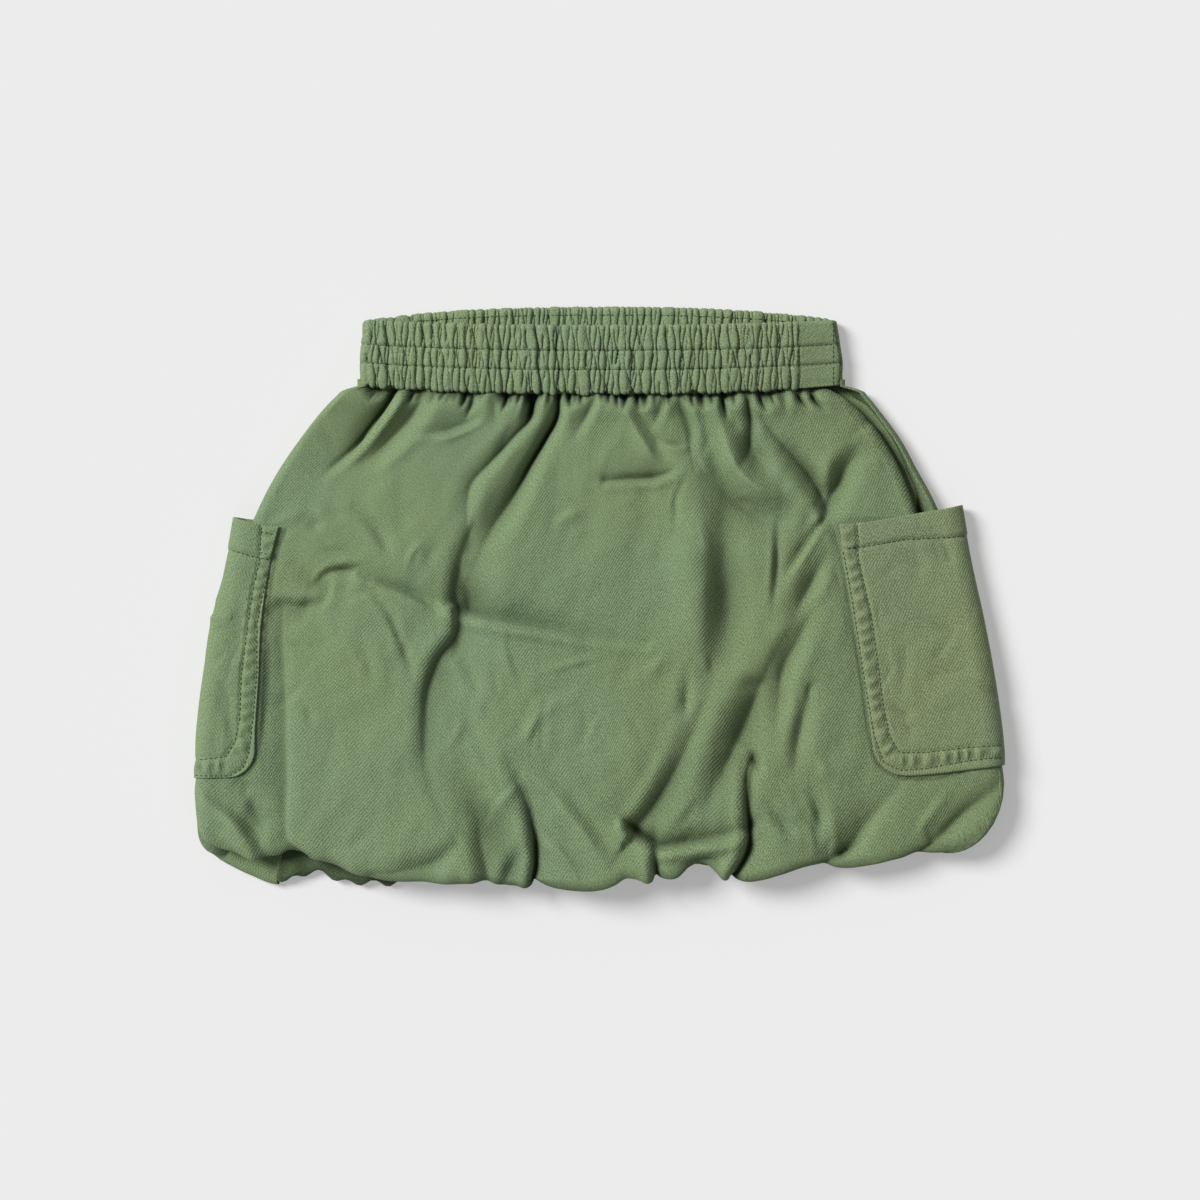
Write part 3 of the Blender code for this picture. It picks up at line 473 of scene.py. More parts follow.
# %% Folds of the hem, and the dips beside the pockets
HEM_FOLDS = [
    fold("slit_left", 8, (4, 6, 8), (3, 2.4, 2.4), [(-45, -82), (-41, -90), (-37, -99), (-34.5, -112),
         (-33, -121), (-33, -131), (-34.5, -139), (-32.5, -146), (-32.5, -156)], peak=0.7, start=0.2,
         end=0.9, lip=(0, 0.25), sharp=(1.2, 1), crisp=0.4, over=-1.5, line=1.1),
    fold("valley_low", 5.5, (5, 8, 9), (6, 10, 12), [(-76, -38), (-68, -62), (-60, -86), (-52, -110),
         (-44, -138), (-43, -152)], peak=0.6, end=0.6, lip=(0, 0), sharp=2.2),
    fold("slit_left_branch", 3, 5, 3, [(-36, -120), (-42, -129), (-47, -138), (-49, -150)], end=0.7,
         lip=(0.05, 0.3), sharp=1.2),
    fold("slit_ridge_upper", -3.4, 3.5, 3, [(-42, -84), (-27, -93), (-15.5, -106), (-6, -118.5),
         (7, -138)], peak=0.6, start=0.2, lip=(0.5, 0.3), sharp=1),
    fold("slit_ridge_lower", -3, 2.6, 3, [(-33, -110), (-31, -116), (-20, -125.5), (-9, -138)],
         lip=(0.4, 0.4), sharp=1),
    fold("puff_ridge", -3, 4, 7, [(-71, -48), (-68, -62), (-58, -86), (-45, -106), (-34, -123)], peak=0.6,
         lip=(0, 0.6)),
    fold("hollow_mid", 6.5, (6, 9, 12), (4, 4, 3), [(48, -56), (42, -72), (35, -86), (26, -100),
         (16, -114)], peak=0.8, end=0.8, lip=(0, 0.2), sharp=(2, 1), line=0.25),
    fold("hollow_sill", 8, (5, 6, 5), 2.4, [(14, -112), (22, -118), (30, -122), (44, -120), (58, -117),
         (73, -113)], peak=0.4, start=0.8, end=0.4, lip=(0, 0.4), sharp=(1.5, 1), crisp=0.25, over=-1.4,
         line=0.5),
    fold("slit_mid", 7, 4.5, 2.4, [(25.5, -117), (26.3, -128), (26.8, -138), (27, -156)], peak=0.6,
         end=0.9, lip=(0, 0.2), sharp=(1.2, 1), crisp=0.4, over=-1.3, line=1),
    fold("roll_hollow", 4, 5, 5, [(30, -132), (46, -131), (62, -126)], sharp=1.8),
    fold("roll_tuck", 3, 2.2, 2.2, [(48, -128), (57, -129), (66, -124)]),
    fold("slit_right", 7.5, (4, 6, 6), (3, 2.6, 2.6), [(74, -80), (72, -90), (72, -103), (73.3, -114),
         (71.5, -125), (65.5, -136), (62, -150)], peak=0.6, start=0.5, end=0.8, lip=(0, 0.25),
         sharp=(1.2, 1), crisp=0.4, over=-1.5, line=1.1),
    fold("right_small_a", 4.5, 2.6, 3, [(83, -101), (90, -110), (98.5, -119)]),
    fold("right_small_b", 3.9, 3.4, 2.2, [(104, -96), (108, -107), (110, -119)]),
    fold("right_diagonal", 6.9, 2.8, 8.5, [(147, -94), (138, -104), (131, -113), (125, -121.5),
         (115, -130), (104, -138)], peak=0.6, start=0.25, end=0.6, lip=(0, 0), sharp=(1, 1.3), over=0.4),
    fold("right_hook", 4, 1.8, 1.8, [(127, -120), (120, -125), (111, -127.5)], sharp=1, line=0.5),
    fold("corner_diagonal", 6, 4.5, 5.5, [(198, -92), (184.5, -102), (175.5, -110), (167, -118.5),
         (155, -129)], start=0.4, end=0.8, lip=(0, 0), sharp=(1.2, 1.1), over=-0.6),
    fold("left_lip", 5, 4, 5, [(-113, -136), (-98, -134), (-84, -130.5), (-74, -123), (-70, -112)],
         lip=(0.1, 0.1), sharp=(1.1, 1.5)),
    fold("lip_side", 4, 4, 4, [(-61, -106), (-60, -118), (-56, -137), (-55, -150)], peak=0.6, end=0.6),
    fold("corner_ridge", -3.2, 3, 4.5, [(-200, -97), (-192, -103), (-183, -110), (-176, -118.5),
         (-171, -130)], start=0.4, end=0.6, lip=(0.7, 0.3)),
    fold("corner_hollow", 5, 5, 5, [(-176, -94), (-171, -106), (-165, -118)], peak=0.6),
]
POCKET_GROOVES = [  # the panel dips beside each pocket, where the stitches pull it down
    fold("right_pocket", 2, 1.6, 1.5, [(115, 35), (118.5, 20), (123.5, -10), (128.5, -40), (132.5, -68),
         (136, -80), (146, -87), (160, -88.5), (180, -85)], start=0.8, end=0.8, lip=(0, 0), sharp=1.2,
         line=0.7),
    fold("left_pocket", 1, 1.6, 1.5, [(-157, 35), (-161.5, 20), (-166, -10), (-167.5, -40), (-169, -70),
         (-173, -84), (-182, -90)], start=0.8, end=0.8, lip=(0, 0), sharp=1.2, line=0.6),
]
FRONT_FOLDS = WAIST_FOLDS + MIDDLE_FOLDS + HEM_FOLDS + POCKET_GROOVES
deepest = max(FRONT_FOLDS, key=lambda fold: fold["depth"])
print(len(FRONT_FOLDS), "folds placed by hand on the front, the deepest is", deepest["name"])

# %% [markdown]
# Between the large folds lie the small gathers where the panel is sewn into the waistband, and the faint
# crumples of washed cotton. They are too many to place one by one, so they are dealt out with a fixed seed
# and come out the same on every run. The notches that show best at the seam are still listed one by one.

# %% Small gathers and crumples
HALF_BAND = 120  # half the waistband's width
FREE = 1.8  # the room that a gather keeps from a place that is taken
FAN = 0.45  # how far the gathers fan out towards the sides


def front_foot(x):
    return bowed(BAND_FOOT, x / HALF_BAND, True) - SEAM_GAP


def back_foot(x):
    return bowed(BAND_FOOT, x / HALF_BAND, False) - SEAM_GAP


def small_gathers(foot_y, left, right, apart, taken, seed, longest):
    """Short folds down from the waist seam, none of them on top of a place that is taken."""
    pick = random.Random(seed)
    gathers, x = [], left
    while x < right:
        if all(abs(x - other) > FREE for other in taken):
            length = pick.choice([4, 5, 6, 7, 8, longest])
            lean = x / HALF_BAND * length * FAN + pick.uniform(-1.5, 1.5)
            y = foot_y(x)
            path = [(x, y + 3), (x + lean * 0.3, y - length * 0.4), (x + lean, y - length)]
            depth = pick.uniform(2.5, 5.0)
            gathers.append(fold("gather", depth, pick.uniform(1.0, 1.7), pick.uniform(1.0, 1.7), path,
                                peak=0.2, start=0.95, lip=(0.3, 0.3), sharp=1.0, line=0.8))
        x += pick.uniform(0.6, 1.5) * apart
    return gathers


def crumples(count, box, seed, depth):
    """Faint short creases and ridges, scattered over a box (left, right, low, high)."""
    pick = random.Random(seed)
    made = []
    for _ in range(count):
        x, y = pick.uniform(box[0], box[1]), pick.uniform(box[2], box[3])
        turn, length, bend = pick.gauss(1.5, 0.8), pick.uniform(12, 42), pick.uniform(-4, 4)
        dx, dy = math.cos(turn) * length / 2, math.sin(turn) * length / 2
        path = [(x - dx, y - dy), (x + bend * math.sin(turn), y - bend * math.cos(turn)), (x + dx, y + dy)]
        made.append(fold("crumple", pick.uniform(*depth) * pick.choice([1, 1, -1]), pick.uniform(1.2, 3.4),
                         pick.uniform(1.2, 3.4), path, peak=pick.uniform(0.3, 0.7), start=0.0,
                         sharp=pick.choice([1.0, 1.0, 1.6]), lip=(0.3, 0.3)))
    return made


# %% Deal the front's small folds
WAIST_NOTCHES = [  # (x, depth, length, lean)
    (-112, 2.6, 8, -4), (-93, 2.6, 9, -5), (-78, 2.4, 7, -3), (-67, 3.2, 10, -3), (-63, 2.4, 15, -5),
    (-46.5, 3.6, 11, -3), (-40, 2.2, 7, -2), (-33, 5.0, 17, -6), (-15.5, 3.4, 9, 1), (-9.5, 2.4, 7, -1),
    (4, 2.4, 7, 0), (8, 2.8, 9, 1), (12.5, 3.4, 10, -2), (18, 2.8, 9, 2), (22.5, 3.0, 9, -1),
    (34, 2.2, 7, 0), (45, 2.8, 9, 2), (50.5, 3.2, 10, 1), (55, 2.6, 8, 1), (60.5, 3.4, 16, 3),
    (66, 2.4, 8, 1), (79, 3.2, 12, 5), (84.5, 2.6, 9, 3), (97.5, 3.0, 11, 8), (104, 2.8, 13, 11),
]
front_small = []
for x, deep, length, lean in WAIST_NOTCHES:
    y = front_foot(x)
    path = [(x, y + 3), (x + lean * 0.2, y - length * 0.4), (x + lean, y - length)]
    front_small.append(fold("notch", deep * 2.8, 1.2 + deep * 0.2, 1.2 + deep * 0.25, path, peak=0.25,
                            start=0.95, lip=(0.1, 0.1), sharp=0.9, crisp=0.3, over=0.6, line=1.2))
taken = [fold["path"][0][0] for fold in WAIST_FOLDS if fold["path"][0][1] > 100]
taken += [notch[0] for notch in WAIST_NOTCHES]
front_small += small_gathers(front_foot, -115, 114, 2.6, taken, seed=11, longest=9)
front_small += crumples(90, (-190, 185, -125, 90), seed=5, depth=(0.5, 1.5))
print(len(front_small), "small folds on the front")

# %% [markdown]
# The back can't be seen in the photograph. It is the same cloth, gathered in the same way, so it gets long
# folds of its own, listed one by one and uneven like the front's, and notches where its hem puffs out.

# %% Folds of the back
BACK_FOLDS = [
    fold("back_left_shoulder", 6.5, 4, 6, [(-104, 106), (-116, 84), (-132, 62), (-146, 42)], peak=0.4,
         start=0.8, lip=(0.3, 0.1), sharp=1),
    fold("back_left_second", 5, 3.5, 5, [(-84, 106), (-92, 84), (-106, 62), (-112, 38), (-110, 8)],
         peak=0.35, start=0.8, lip=(0.2, 0.3), sharp=1.1),
    fold("back_left_long", 6, 5, 3.5, [(-58, 106), (-60, 78), (-70, 42), (-74, 0), (-66, -44)], peak=0.4,
         start=0.6, lip=(0.1, 0.3), sharp=1.1),
    fold("back_middle", 5.6, 3, 6, [(-18, 106), (-14, 80), (-24, 48), (-30, 10), (-26, -30)], peak=0.3,
         start=0.8, lip=(0.3, 0.1), sharp=1),
    fold("back_middle_right", 5, 3, 4, [(24, 106), (30, 82), (26, 50), (34, 14)], peak=0.3, start=0.8,
         sharp=1.1),
    fold("back_right_long", 6.2, 6, 3, [(62, 106), (66, 76), (80, 44), (86, 4), (78, -40), (82, -70)],
         peak=0.45, start=0.7, lip=(0.1, 0.3), sharp=1.1),
    fold("back_right_shoulder", 6, 3.5, 5, [(98, 106), (112, 84), (126, 66), (140, 58)], peak=0.35,
         start=0.8, lip=(0.3, 0.1), sharp=1),
    fold("back_cross", 4.4, 6, 2.4, [(-128, -8), (-96, -18), (-60, -20), (-22, -34)], peak=0.4,
         lip=(0, 0.4), sharp=1.1),
    fold("back_crescent", 3.6, 2.4, 5, [(8, -6), (24, 4), (44, 4), (62, -6)], lip=(0.4, 0), sharp=1.1),
    fold("back_hem_left", 6, 4, 8, [(-118, -44), (-112, -74), (-118, -102), (-114, -136)], peak=0.7,
         start=0.2, end=0.8, lip=(0.2, 0), sharp=1.1),
    fold("back_hem_middle", 6.5, 3, 8, [(-40, -60), (-30, -88), (-26, -112), (-30, -146)], peak=0.7,
         start=0.2, end=0.9, lip=(0.3, 0), sharp=1),
    fold("back_hem_ridge", -3.2, 6, 8, [(0, -52), (6, -84), (2, -112)], lip=(0.4, 0.2)),
    fold("back_hem_right", 6, 7, 3, [(44, -66), (50, -92), (44, -118), (48, -142)], peak=0.7, start=0.2,
         end=0.9, lip=(0, 0.3), sharp=1.1),
    fold("back_corner", 5, 3, 7, [(138, -74), (126, -92), (110, -108), (100, -134)], peak=0.6, end=0.6,
         lip=(0.3, 0), sharp=1.1),
]
BACK_HEM_NOTCHES = [  # (x, y, depth)
    (-186, -128, 5), (-178, -122, 9), (-163, -130, 5), (-153.5, -124, 10), (-141, -128, 5), (-127, -130, 6),
    (-112.5, -128, 9), (-101, -132, 5), (-60, -128, 6), (20, -126, 6), (75, -124, 7), (120, -112, 6),
]
back_folds = small_gathers(back_foot, -112, 112, 5.5, [], seed=21, longest=48) + BACK_FOLDS
for x, y, deep in BACK_HEM_NOTCHES:
    back_folds.append(fold("hem_notch", deep, 3, 4, [(x - 2, y + 22), (x, y + 6), (x + 1, y - 30)],
                           start=0.1, end=1.0, sharp=1.0))
back_folds += crumples(60, (-170, 170, -120, 80), seed=23, depth=(0.1, 0.3))
print(len(back_folds), "folds on the back,", len(BACK_FOLDS), "of them placed by hand")

# %% [markdown]
# Washed cotton is never quite smooth between its folds. `cloud` is a random relief: hills on a grid with
# soft slopes between them. `washed` lays three of them over each other, large, middling and small.

# %% Relief of washed cotton
GRID = 256  # hills each way before the relief repeats
SHIFT = (97.3, 53.7)  # how far the grid is moved, so that no hill stands on the skirt's own middle


def cloud(x, y, size, seed, turn=0.0, stretch=1.0):
    """Smooth random hills from -1 to 1, about `size` mm apart, drawn out along one direction."""
    along, across = x * math.cos(turn) + y * math.sin(turn), y * math.cos(turn) - x * math.sin(turn)
    along, across = along / (size * stretch) + SHIFT[0], across / size + SHIFT[1]
    hills = np.random.default_rng(seed).uniform(-1, 1, (GRID, GRID))
    i, j = np.floor(along).astype(int), np.floor(across).astype(int)
    s, t = smooth(along - i), smooth(across - j)
    near = [[hills[(i + a) % GRID, (j + b) % GRID] for b in (0, 1)] for a in (0, 1)]
    return (near[0][0] * (1 - s) + near[1][0] * s) * (1 - t) + (near[0][1] * (1 - s) + near[1][1] * s) * t


def washed(x, y, seed):
    """The small relief of washed cotton: soft hills, a little longer down the skirt than across."""
    bend_x, bend_y = 5 * cloud(x, y, 26, seed), 5 * cloud(x, y, 24, seed + 1)
    x, y = x + bend_x, y + bend_y
    hills = 0.55 * cloud(x, y, 30, seed + 2, 1.1, 1.6) + 0.30 * cloud(x, y, 13, seed + 3, 1.3, 1.7)
    hills += 0.16 * cloud(x, y, 6.5, seed + 4, 1.2, 1.4)
    return 0.8 * hills + 0.35 * np.abs(cloud(x, y, 22, seed + 6, 1.25, 2.4))


# %% [markdown]
# ## A sheet of cloth
# A sheet starts as Blender's own grid, which already has a UV map, and every vertex is moved to its place in
# the cloth. The UV map is set to the cloth's own length in metres, which is what the weave follows. Solidify
# then gives the sheet the thickness of the twill on its inner side, so that edges at the hem and at the
# pocket mouths look like cloth and not like paper. A sheet with no edge in sight can do without it.

# %% From a grid to cloth
DARKEST, PALEST = -1.6, 1.0  # the ends of the scale of wear and painted shade


def cloth(name, points, lengths, wear_and_shade, thick):
    """A sheet through rows of points, in millimetres, with its outside where the grid's top was.

    Wear and shade run from DARKEST, a painted shadow in a tight crease, to PALEST, rubbed on an edge or a
    ridge."""
    rows, cols = points.shape[:2]
    bpy.ops.object.select_all(action="DESELECT")
    bpy.ops.mesh.primitive_grid_add(x_subdivisions=cols - 1, y_subdivisions=rows - 1, size=1)
    piece = bpy.context.object
    piece.name = piece.data.name = name
    mesh = piece.data
    flat = np.empty(len(mesh.vertices) * 3)
    mesh.vertices.foreach_get("co", flat)
    flat = flat.reshape(-1, 3)
    col = np.rint((flat[:, 0] + 0.5) * (cols - 1)).astype(int)
    row = np.rint((0.5 - flat[:, 1]) * (rows - 1)).astype(int)
    mesh.vertices.foreach_set("co", (points[row, col] * MM).ravel())
    corner = np.empty(len(mesh.loops), int)
    mesh.loops.foreach_get("vertex_index", corner)
    layer = mesh.uv_layers.active
    layer.name = "weave"
    layer.data.foreach_set("uv", (lengths[row, col] * MM)[corner].ravel())
    worn_and_shaded = mesh.attributes.new("wear_and_shade", "FLOAT", "POINT")
    worn_and_shaded.data.foreach_set("value", np.clip(wear_and_shade[row, col], DARKEST, PALEST).astype(np.float32))
    mesh.update()
    if thick:
        wall = piece.modifiers.new("wall", "SOLIDIFY")
        wall.thickness = thick * MM
        wall.offset = -1
        wall.use_rim = True
        bpy.ops.object.modifier_apply(modifier=wall.name)
    bpy.ops.object.shade_smooth()
    triangles = sum(len(p.vertices) - 2 for p in piece.data.polygons)
    print(name, cols, "x", rows, "points,", triangles, "triangles")
    return piece


def columns(*blocks):
    """Places round the tube: each block is (from, to, how many steps), and starts where the last ended."""
    places = [np.linspace(start, end, steps + 1)[:-1] for start, end, steps in blocks]
    return np.concatenate(places + [[blocks[-1][1]]])


def seam_place(side_height):
    """Where the right side seam lies round the tube, on a fold of this height."""
    nose = side_height / 2
    return 1 - NOSE + NOSE * np.arcsin(1 - RIGHT_SEAM / nose) / (math.pi / 2)


LEFT_PLACE = -(2 - (1 - NOSE) * (1 - LEFT_SEAM))

# %% [markdown]
# ## The two panels
# Each panel is one cut of twill. It runs from inside the waistband down the outside, rolls under at the hem
# and runs back up inside, as the real one does. The front panel reaches round the left fold, so the left
# seam lies out of sight on the back, and stops just short of the right fold, where its seam shows.

# %% Rows of a panel
SEAM_ALLOWANCE = 0.016  # what lies inside the waistband, as a share of the body's length


def panel_rows(body_rows, roll_rows, inner_rows):
    """The rows down a panel: (kind, place), close together at the waist."""
    down = np.linspace(0, 1, body_rows)
    down = 0.72 * down + 0.28 * down**1.9
    rows = [("body", -SEAM_ALLOWANCE), ("body", -SEAM_ALLOWANCE / 2)] + [("body", v) for v in down]
    rows += [("roll", math.pi * k / roll_rows) for k in range(1, roll_rows + 1)]
    rows += [("hem", k / inner_rows) for k in range(1, inner_rows + 1)]
    return rows


def panel_point(kind, q, at):
    """A row's smooth points: at down the body, at round the roll, or at up the turned hem."""
    if kind == "body":
        return body_point(q, at)[0]
    return roll_point(q, at) if kind == "roll" else hem_point(q, at)


def panel_sheet(rows, places):
    """The smooth points of a panel, where across they lie, and which are on the front."""
    points, across, fronts = [], [], []
    for kind, at in rows:
        v = at if kind == "body" else 1.0
        q = places(float(through(ALONG["v"], ALONG["side"], max(v, 0.0))))
        points.append(panel_point(kind, q, np.full_like(q, at)))
        _, u, front = body_point(q, np.full_like(q, v))
        across.append(u)
        fronts.append(front)
    return np.array(points), np.array(across), np.array(fronts)


def lengths_of(points):
    """The cloth's own length across and down each point, from the middle of the sheet."""
    across = np.linalg.norm(np.diff(points, axis=1), axis=-1)
    across = np.concatenate([np.zeros((len(points), 1)), np.cumsum(across, axis=1)], axis=1)
    middle = across[:, -1:] / 2
    across = across - middle
    # Threads fan out from the waist only a little, so each row is stretched towards the widest.
    share = across / middle
    across = share * (0.55 * middle + 0.45 * middle.max())
    down = np.linalg.norm(np.diff(points, axis=0), axis=-1)
    down = np.concatenate([np.zeros((1, points.shape[1])), np.cumsum(down, axis=0)])
    down = down.mean(axis=1, keepdims=True) * np.ones_like(down)
    return np.stack([across, -down], axis=-1)


# %% [markdown]
# A fold isn't the same all over the panel. Under a pocket and along its stitches the panel lies flat, at the
# waist seam it is pinched, and round the hem's roll a fold turns inwards. Each point also shares its shift
# with its neighbours a little, because a steep wall across a grid of squares would look like stairs.

# %% How a panel takes its folds
POCKET_HOLD, POCKET_BESIDE = 0.9, 5.0  # how flat a pocket holds the panel, and how far beside it
PINCH, PINCH_WIDE = 0.3, 1.2  # the waist seam draws the cloth in
TUCKED_IN = 2.0  # what is inside the band lies deeper
PUFF_AT, PUFF_WIDE, PUFF = 6.0, 6.5, 2.4  # the cloth swells below the waist seam
BODY_LONG = 240  # from the waist seam to the hem's roll
SIDE_FADE = 34  # how sharply the folds fade out at the side folds
FRONT_WASH, BACK_WASH = 2.1, 1.2  # the height of the washed relief
HOLLOW_SHADE_DEPTH, RIDGE_WEAR = 11.0, 2.5  # the depth of a fold that makes the painted shade -1, and the height of one that makes the wear 1
LAID_ON = 0.45  # the back lies on the surface, which flattens its folds
ROLL_PAINTED_SHADE, TUCKED_PAINTED_SHADOW, TUCKED_FROM = 0.6, -1.15, 1.2  # painted shade round the hem's roll, painted shadow on the back's tucked hem, and the angle round the roll it starts from
LEAST_UP = 0.15  # nothing sinks into the surface


def held_by_pocket(x, y):
    """1 under a pocket and along its sewn edges, fading to 0 beside it."""
    held = np.zeros(np.shape(x))
    for side, pocket in POCKETS.items():
        sign = -1.0 if side == "left" else 1.0
        inside = np.minimum(sign * (x - through(pocket["y"], pocket["edge"], y)), y - pocket["foot_edge"])
        inside = np.minimum(inside, pocket["mouth_edge"] - y)
        held = np.maximum(held, smooth((inside + POCKET_BESIDE) / POCKET_BESIDE))
    return held


def eased(field):
    """Each point's value shared with its neighbours: a half, and a quarter on each side."""
    for axis in (0, 1):
        pad = [(1, 1) if axis == k else (0, 0) for k in (0, 1)]
        wide = np.pad(field, pad, mode="edge")
        low, high = (wide.take(range(s, s + field.shape[axis]), axis=axis) for s in (0, 2))
        field = 0.5 * field + 0.25 * (low + high)
    return field


def waist_pinch(at):
    """How far the waist seam draws a row in, which below 0 is a swelling."""
    if at < 0:
        return TUCKED_IN
    below = at * BODY_LONG
    return PINCH * math.exp(-below / PINCH_WIDE) - PUFF * math.exp(-(((below - PUFF_AT) / PUFF_WIDE) ** 2))


def row_takes(kind, at):
    """What a row takes of a fold: its depth, its slide down the skirt, and how far the roll turns it in."""
    if kind == "body":
        return (1.0 if at >= 0 else 0.25), 1.0, 0.0
    if kind == "roll":
        return 0.75 + 0.25 * math.cos(at), 0.3, 0.65 * math.sin(at)
    return 0.5 - 0.3 * at, 0.3, 0.0


def panel(name, places, rows, folds, front_side, thick):
    points, across, fronts = panel_sheet(rows, places)
    lengths = lengths_of(points)
    x, y = points[..., 0].copy(), points[..., 1].copy()
    sink, slide_x, slide_y, line = folded(folds, x, y)
    sink = sink - (FRONT_WASH if front_side else BACK_WASH) * washed(x, y, 60 if front_side else 90)
    # Ridges are rubbed pale in the wash. Hollows are painted darker as shade, and tight creases get a painted
    # shadow line.
    wear_and_shade = np.where(sink > 0, -sink / HOLLOW_SHADE_DEPTH, -sink / RIDGE_WEAR) - line
    # Folds fade out at the side folds and stay on their own side of the skirt.
    on = smooth((1 - np.abs(across)) * SIDE_FADE) * (fronts if front_side else ~fronts)
    hold = 1 - POCKET_HOLD * held_by_pocket(x, y) if front_side else 1.0
    sink, slide_x, slide_y = (eased(field) * hold for field in (sink, slide_x, slide_y))
    for k, (kind, at) in enumerate(rows):
        depth, slide, turned_in = row_takes(kind, at)
        if kind == "body":
            points[k, :, 2] -= waist_pinch(at) * on[k] * (1.0 if front_side else -0.5)
        # Painted shade round the hem's roll, darkest halfway round.
        if kind == "roll":
            wear_and_shade[k] -= ROLL_PAINTED_SHADE * math.sin(at)
        points[k, :, 0] += slide_x[k] * on[k] * depth
        points[k, :, 1] += sink[k] * on[k] * turned_in + slide_y[k] * on[k] * depth * slide
        points[k, :, 2] -= sink[k] * on[k] * depth * (1.0 if front_side else -LAID_ON)
    points[..., 2] = np.maximum(points[..., 2], LEAST_UP)
    wear_and_shade = wear_and_shade * on
    if not front_side:
        # The back's hem is tucked under the front's, and the front's shadow on it is painted into its colour.
        tucked = np.array([[kind == "hem" or (kind == "roll" and at > TUCKED_FROM)] for kind, at in rows])
        wear_and_shade = np.where(tucked, TUCKED_PAINTED_SHADOW, wear_and_shade)
    return cloth(name, points, lengths, wear_and_shade, thick)


# %% [markdown]
# The front has the finest grid, because most of what we see is on it. All its edges are out of sight: in the
# band, under the seams and inside the hem. So it stays a single layer.

# %% Cut the front panel
def front_places(side_height):
    return columns((LEFT_PLACE, -(1 + NOSE), 12), (-(1 + NOSE), -(1 - NOSE), 20),
                   (-(1 - NOSE), 1 - NOSE, 392), (1 - NOSE, seam_place(side_height), 8))


front_panel = panel("front_panel_twill", front_places, panel_rows(190, 24, 9), FRONT_FOLDS + front_small,
                    front_side=True, thick=0)


# %% Cut the back panel
def back_places(side_height):
    return columns((seam_place(side_height), 1 + NOSE, 12), (1 + NOSE, 4 + LEFT_PLACE, 150))


back_panel = panel("back_panel_twill", back_places, panel_rows(100, 16, 10), back_folds,
                   front_side=False, thick=0.7)

# %% [markdown]
# ## The waistband
# The real band is one strip folded over three rows of elastic and sewn through between them, so it draws up
# into sharp little pleats that are pinched at each row of stitches. The strip here is a sheet that runs up
# the outside, turns over at the top edge and comes down inside. The pleats are uneven: each has its own
# width, height and lean, and they change a little from channel to channel. At the right end 20 mm of the
# band is plain, where the elastic's join is sewn flat.

# %% Pleats in the band
STITCH_ROWS = (0.365, 0.665)  # how far up the band it is sewn through
BAND_FLAT_END = 20.0
BAND_REACH = (-121, 122)  # its left and right ends
FLAT_FROM = BAND["right"][0] - RIGHT_SEAM - BAND_FLAT_END
BAND_HEIGHT = 33.0
PLEAT, PLAIN = 2.6, 1.5  # how far gathered and plain cloth stand over the elastic
STITCH_WIDE, STITCH_DEEP = 0.7, 0.8  # a row of stitches draws the cloth in, and deeper where it is gathered
CHANNEL_PUFF = 0.25  # the cloth puffs out between two rows


def band_creases(seed):
    """The sharp valleys between the pleats, uneven in place, lean, length and depth."""
    pick = random.Random(seed)
    marks = [-0.1, *STITCH_ROWS, 1.1]
    made, x = [], BAND_REACH[0]
    while x < BAND_REACH[1]:
        if pick.random() < 0.55:
            spans = [(-0.3, 1.3)]
        else:
            spans = []
            for low, high in zip(marks[:-1], marks[1:]):
                if pick.random() < 0.85:
                    cut = pick.uniform(0.55, 1.0) * (high - low)
                    spans.append(pick.choice([(low, low + cut), (high - cut, high), (low, high)]))
        for low, high in spans:
            made.append(dict(x=x + pick.uniform(-0.8, 0.8), lean=pick.uniform(-2.4, 2.4), low=low, high=high,
                             depth=pick.choice([0.4, 0.7, 0.9, 1.2]), steep=pick.uniform(0.28, 0.42),
                             gentle=pick.uniform(0.4, 1.1), side=pick.choice([-1, 1, 1])))
        x += pick.choice([0.8, 1.1, 1.4, 1.7, 2.1, 2.7])
    return made


def to_stitches(h):
    """The distance in millimetres from the nearest row of stitches that draws the band in."""
    marks = np.array([0.0, *STITCH_ROWS])
    return np.abs(h[..., None] - marks).min(axis=-1) * BAND_HEIGHT


def band_relief(x, h, creases, flat_from):
    """How far the cloth stands over its lowest line at x across and h up it, and 1 where it is gathered."""
    valley = np.zeros(np.shape(x))
    for crease in creases:
        middle, half = (crease["low"] + crease["high"]) / 2, (crease["high"] - crease["low"]) / 2
        within = np.clip(1.15 - np.abs((h - middle) / half) ** 3, 0, 1)
        # A valley leans, and wanders a little as it goes up.
        off = x - crease["x"] - crease["lean"] * (h - 0.5) - 0.5 * np.sin(h * 11 + crease["x"])
        off = off * crease["side"]
        wide = np.where(off > 0, crease["gentle"], crease["steep"])
        valley = np.maximum(valley, crease["depth"] * within * np.exp(-np.abs(off) / wide))
    gathered = smooth((flat_from - x) / 2 + 1) * smooth((x - BAND_REACH[0]) / 6)
    drawn = np.exp(-((to_stitches(h) / STITCH_WIDE) ** 2))
    puff = CHANNEL_PUFF * (1 - np.exp(-to_stitches(h) / 3.0))
    body = PLEAT * (1 - valley) * gathered + PLAIN * (1 - gathered)
    return body + puff - (STITCH_DEEP + 0.3 * gathered) * drawn, gathered


# %% From pleats to a strip
BAND_HALF = (BAND_WALL - 0.2) / 2
FOOT_BLEND, RUFFLE_HIGH = 0.16, 0.15  # how far up the band its foot comes down to the panel, and ruffles
PLEAT_SHADE_LEVEL = 1.9  # the relief below which a pleat's valley is painted darker as shade, and above which its crest is rubbed pale


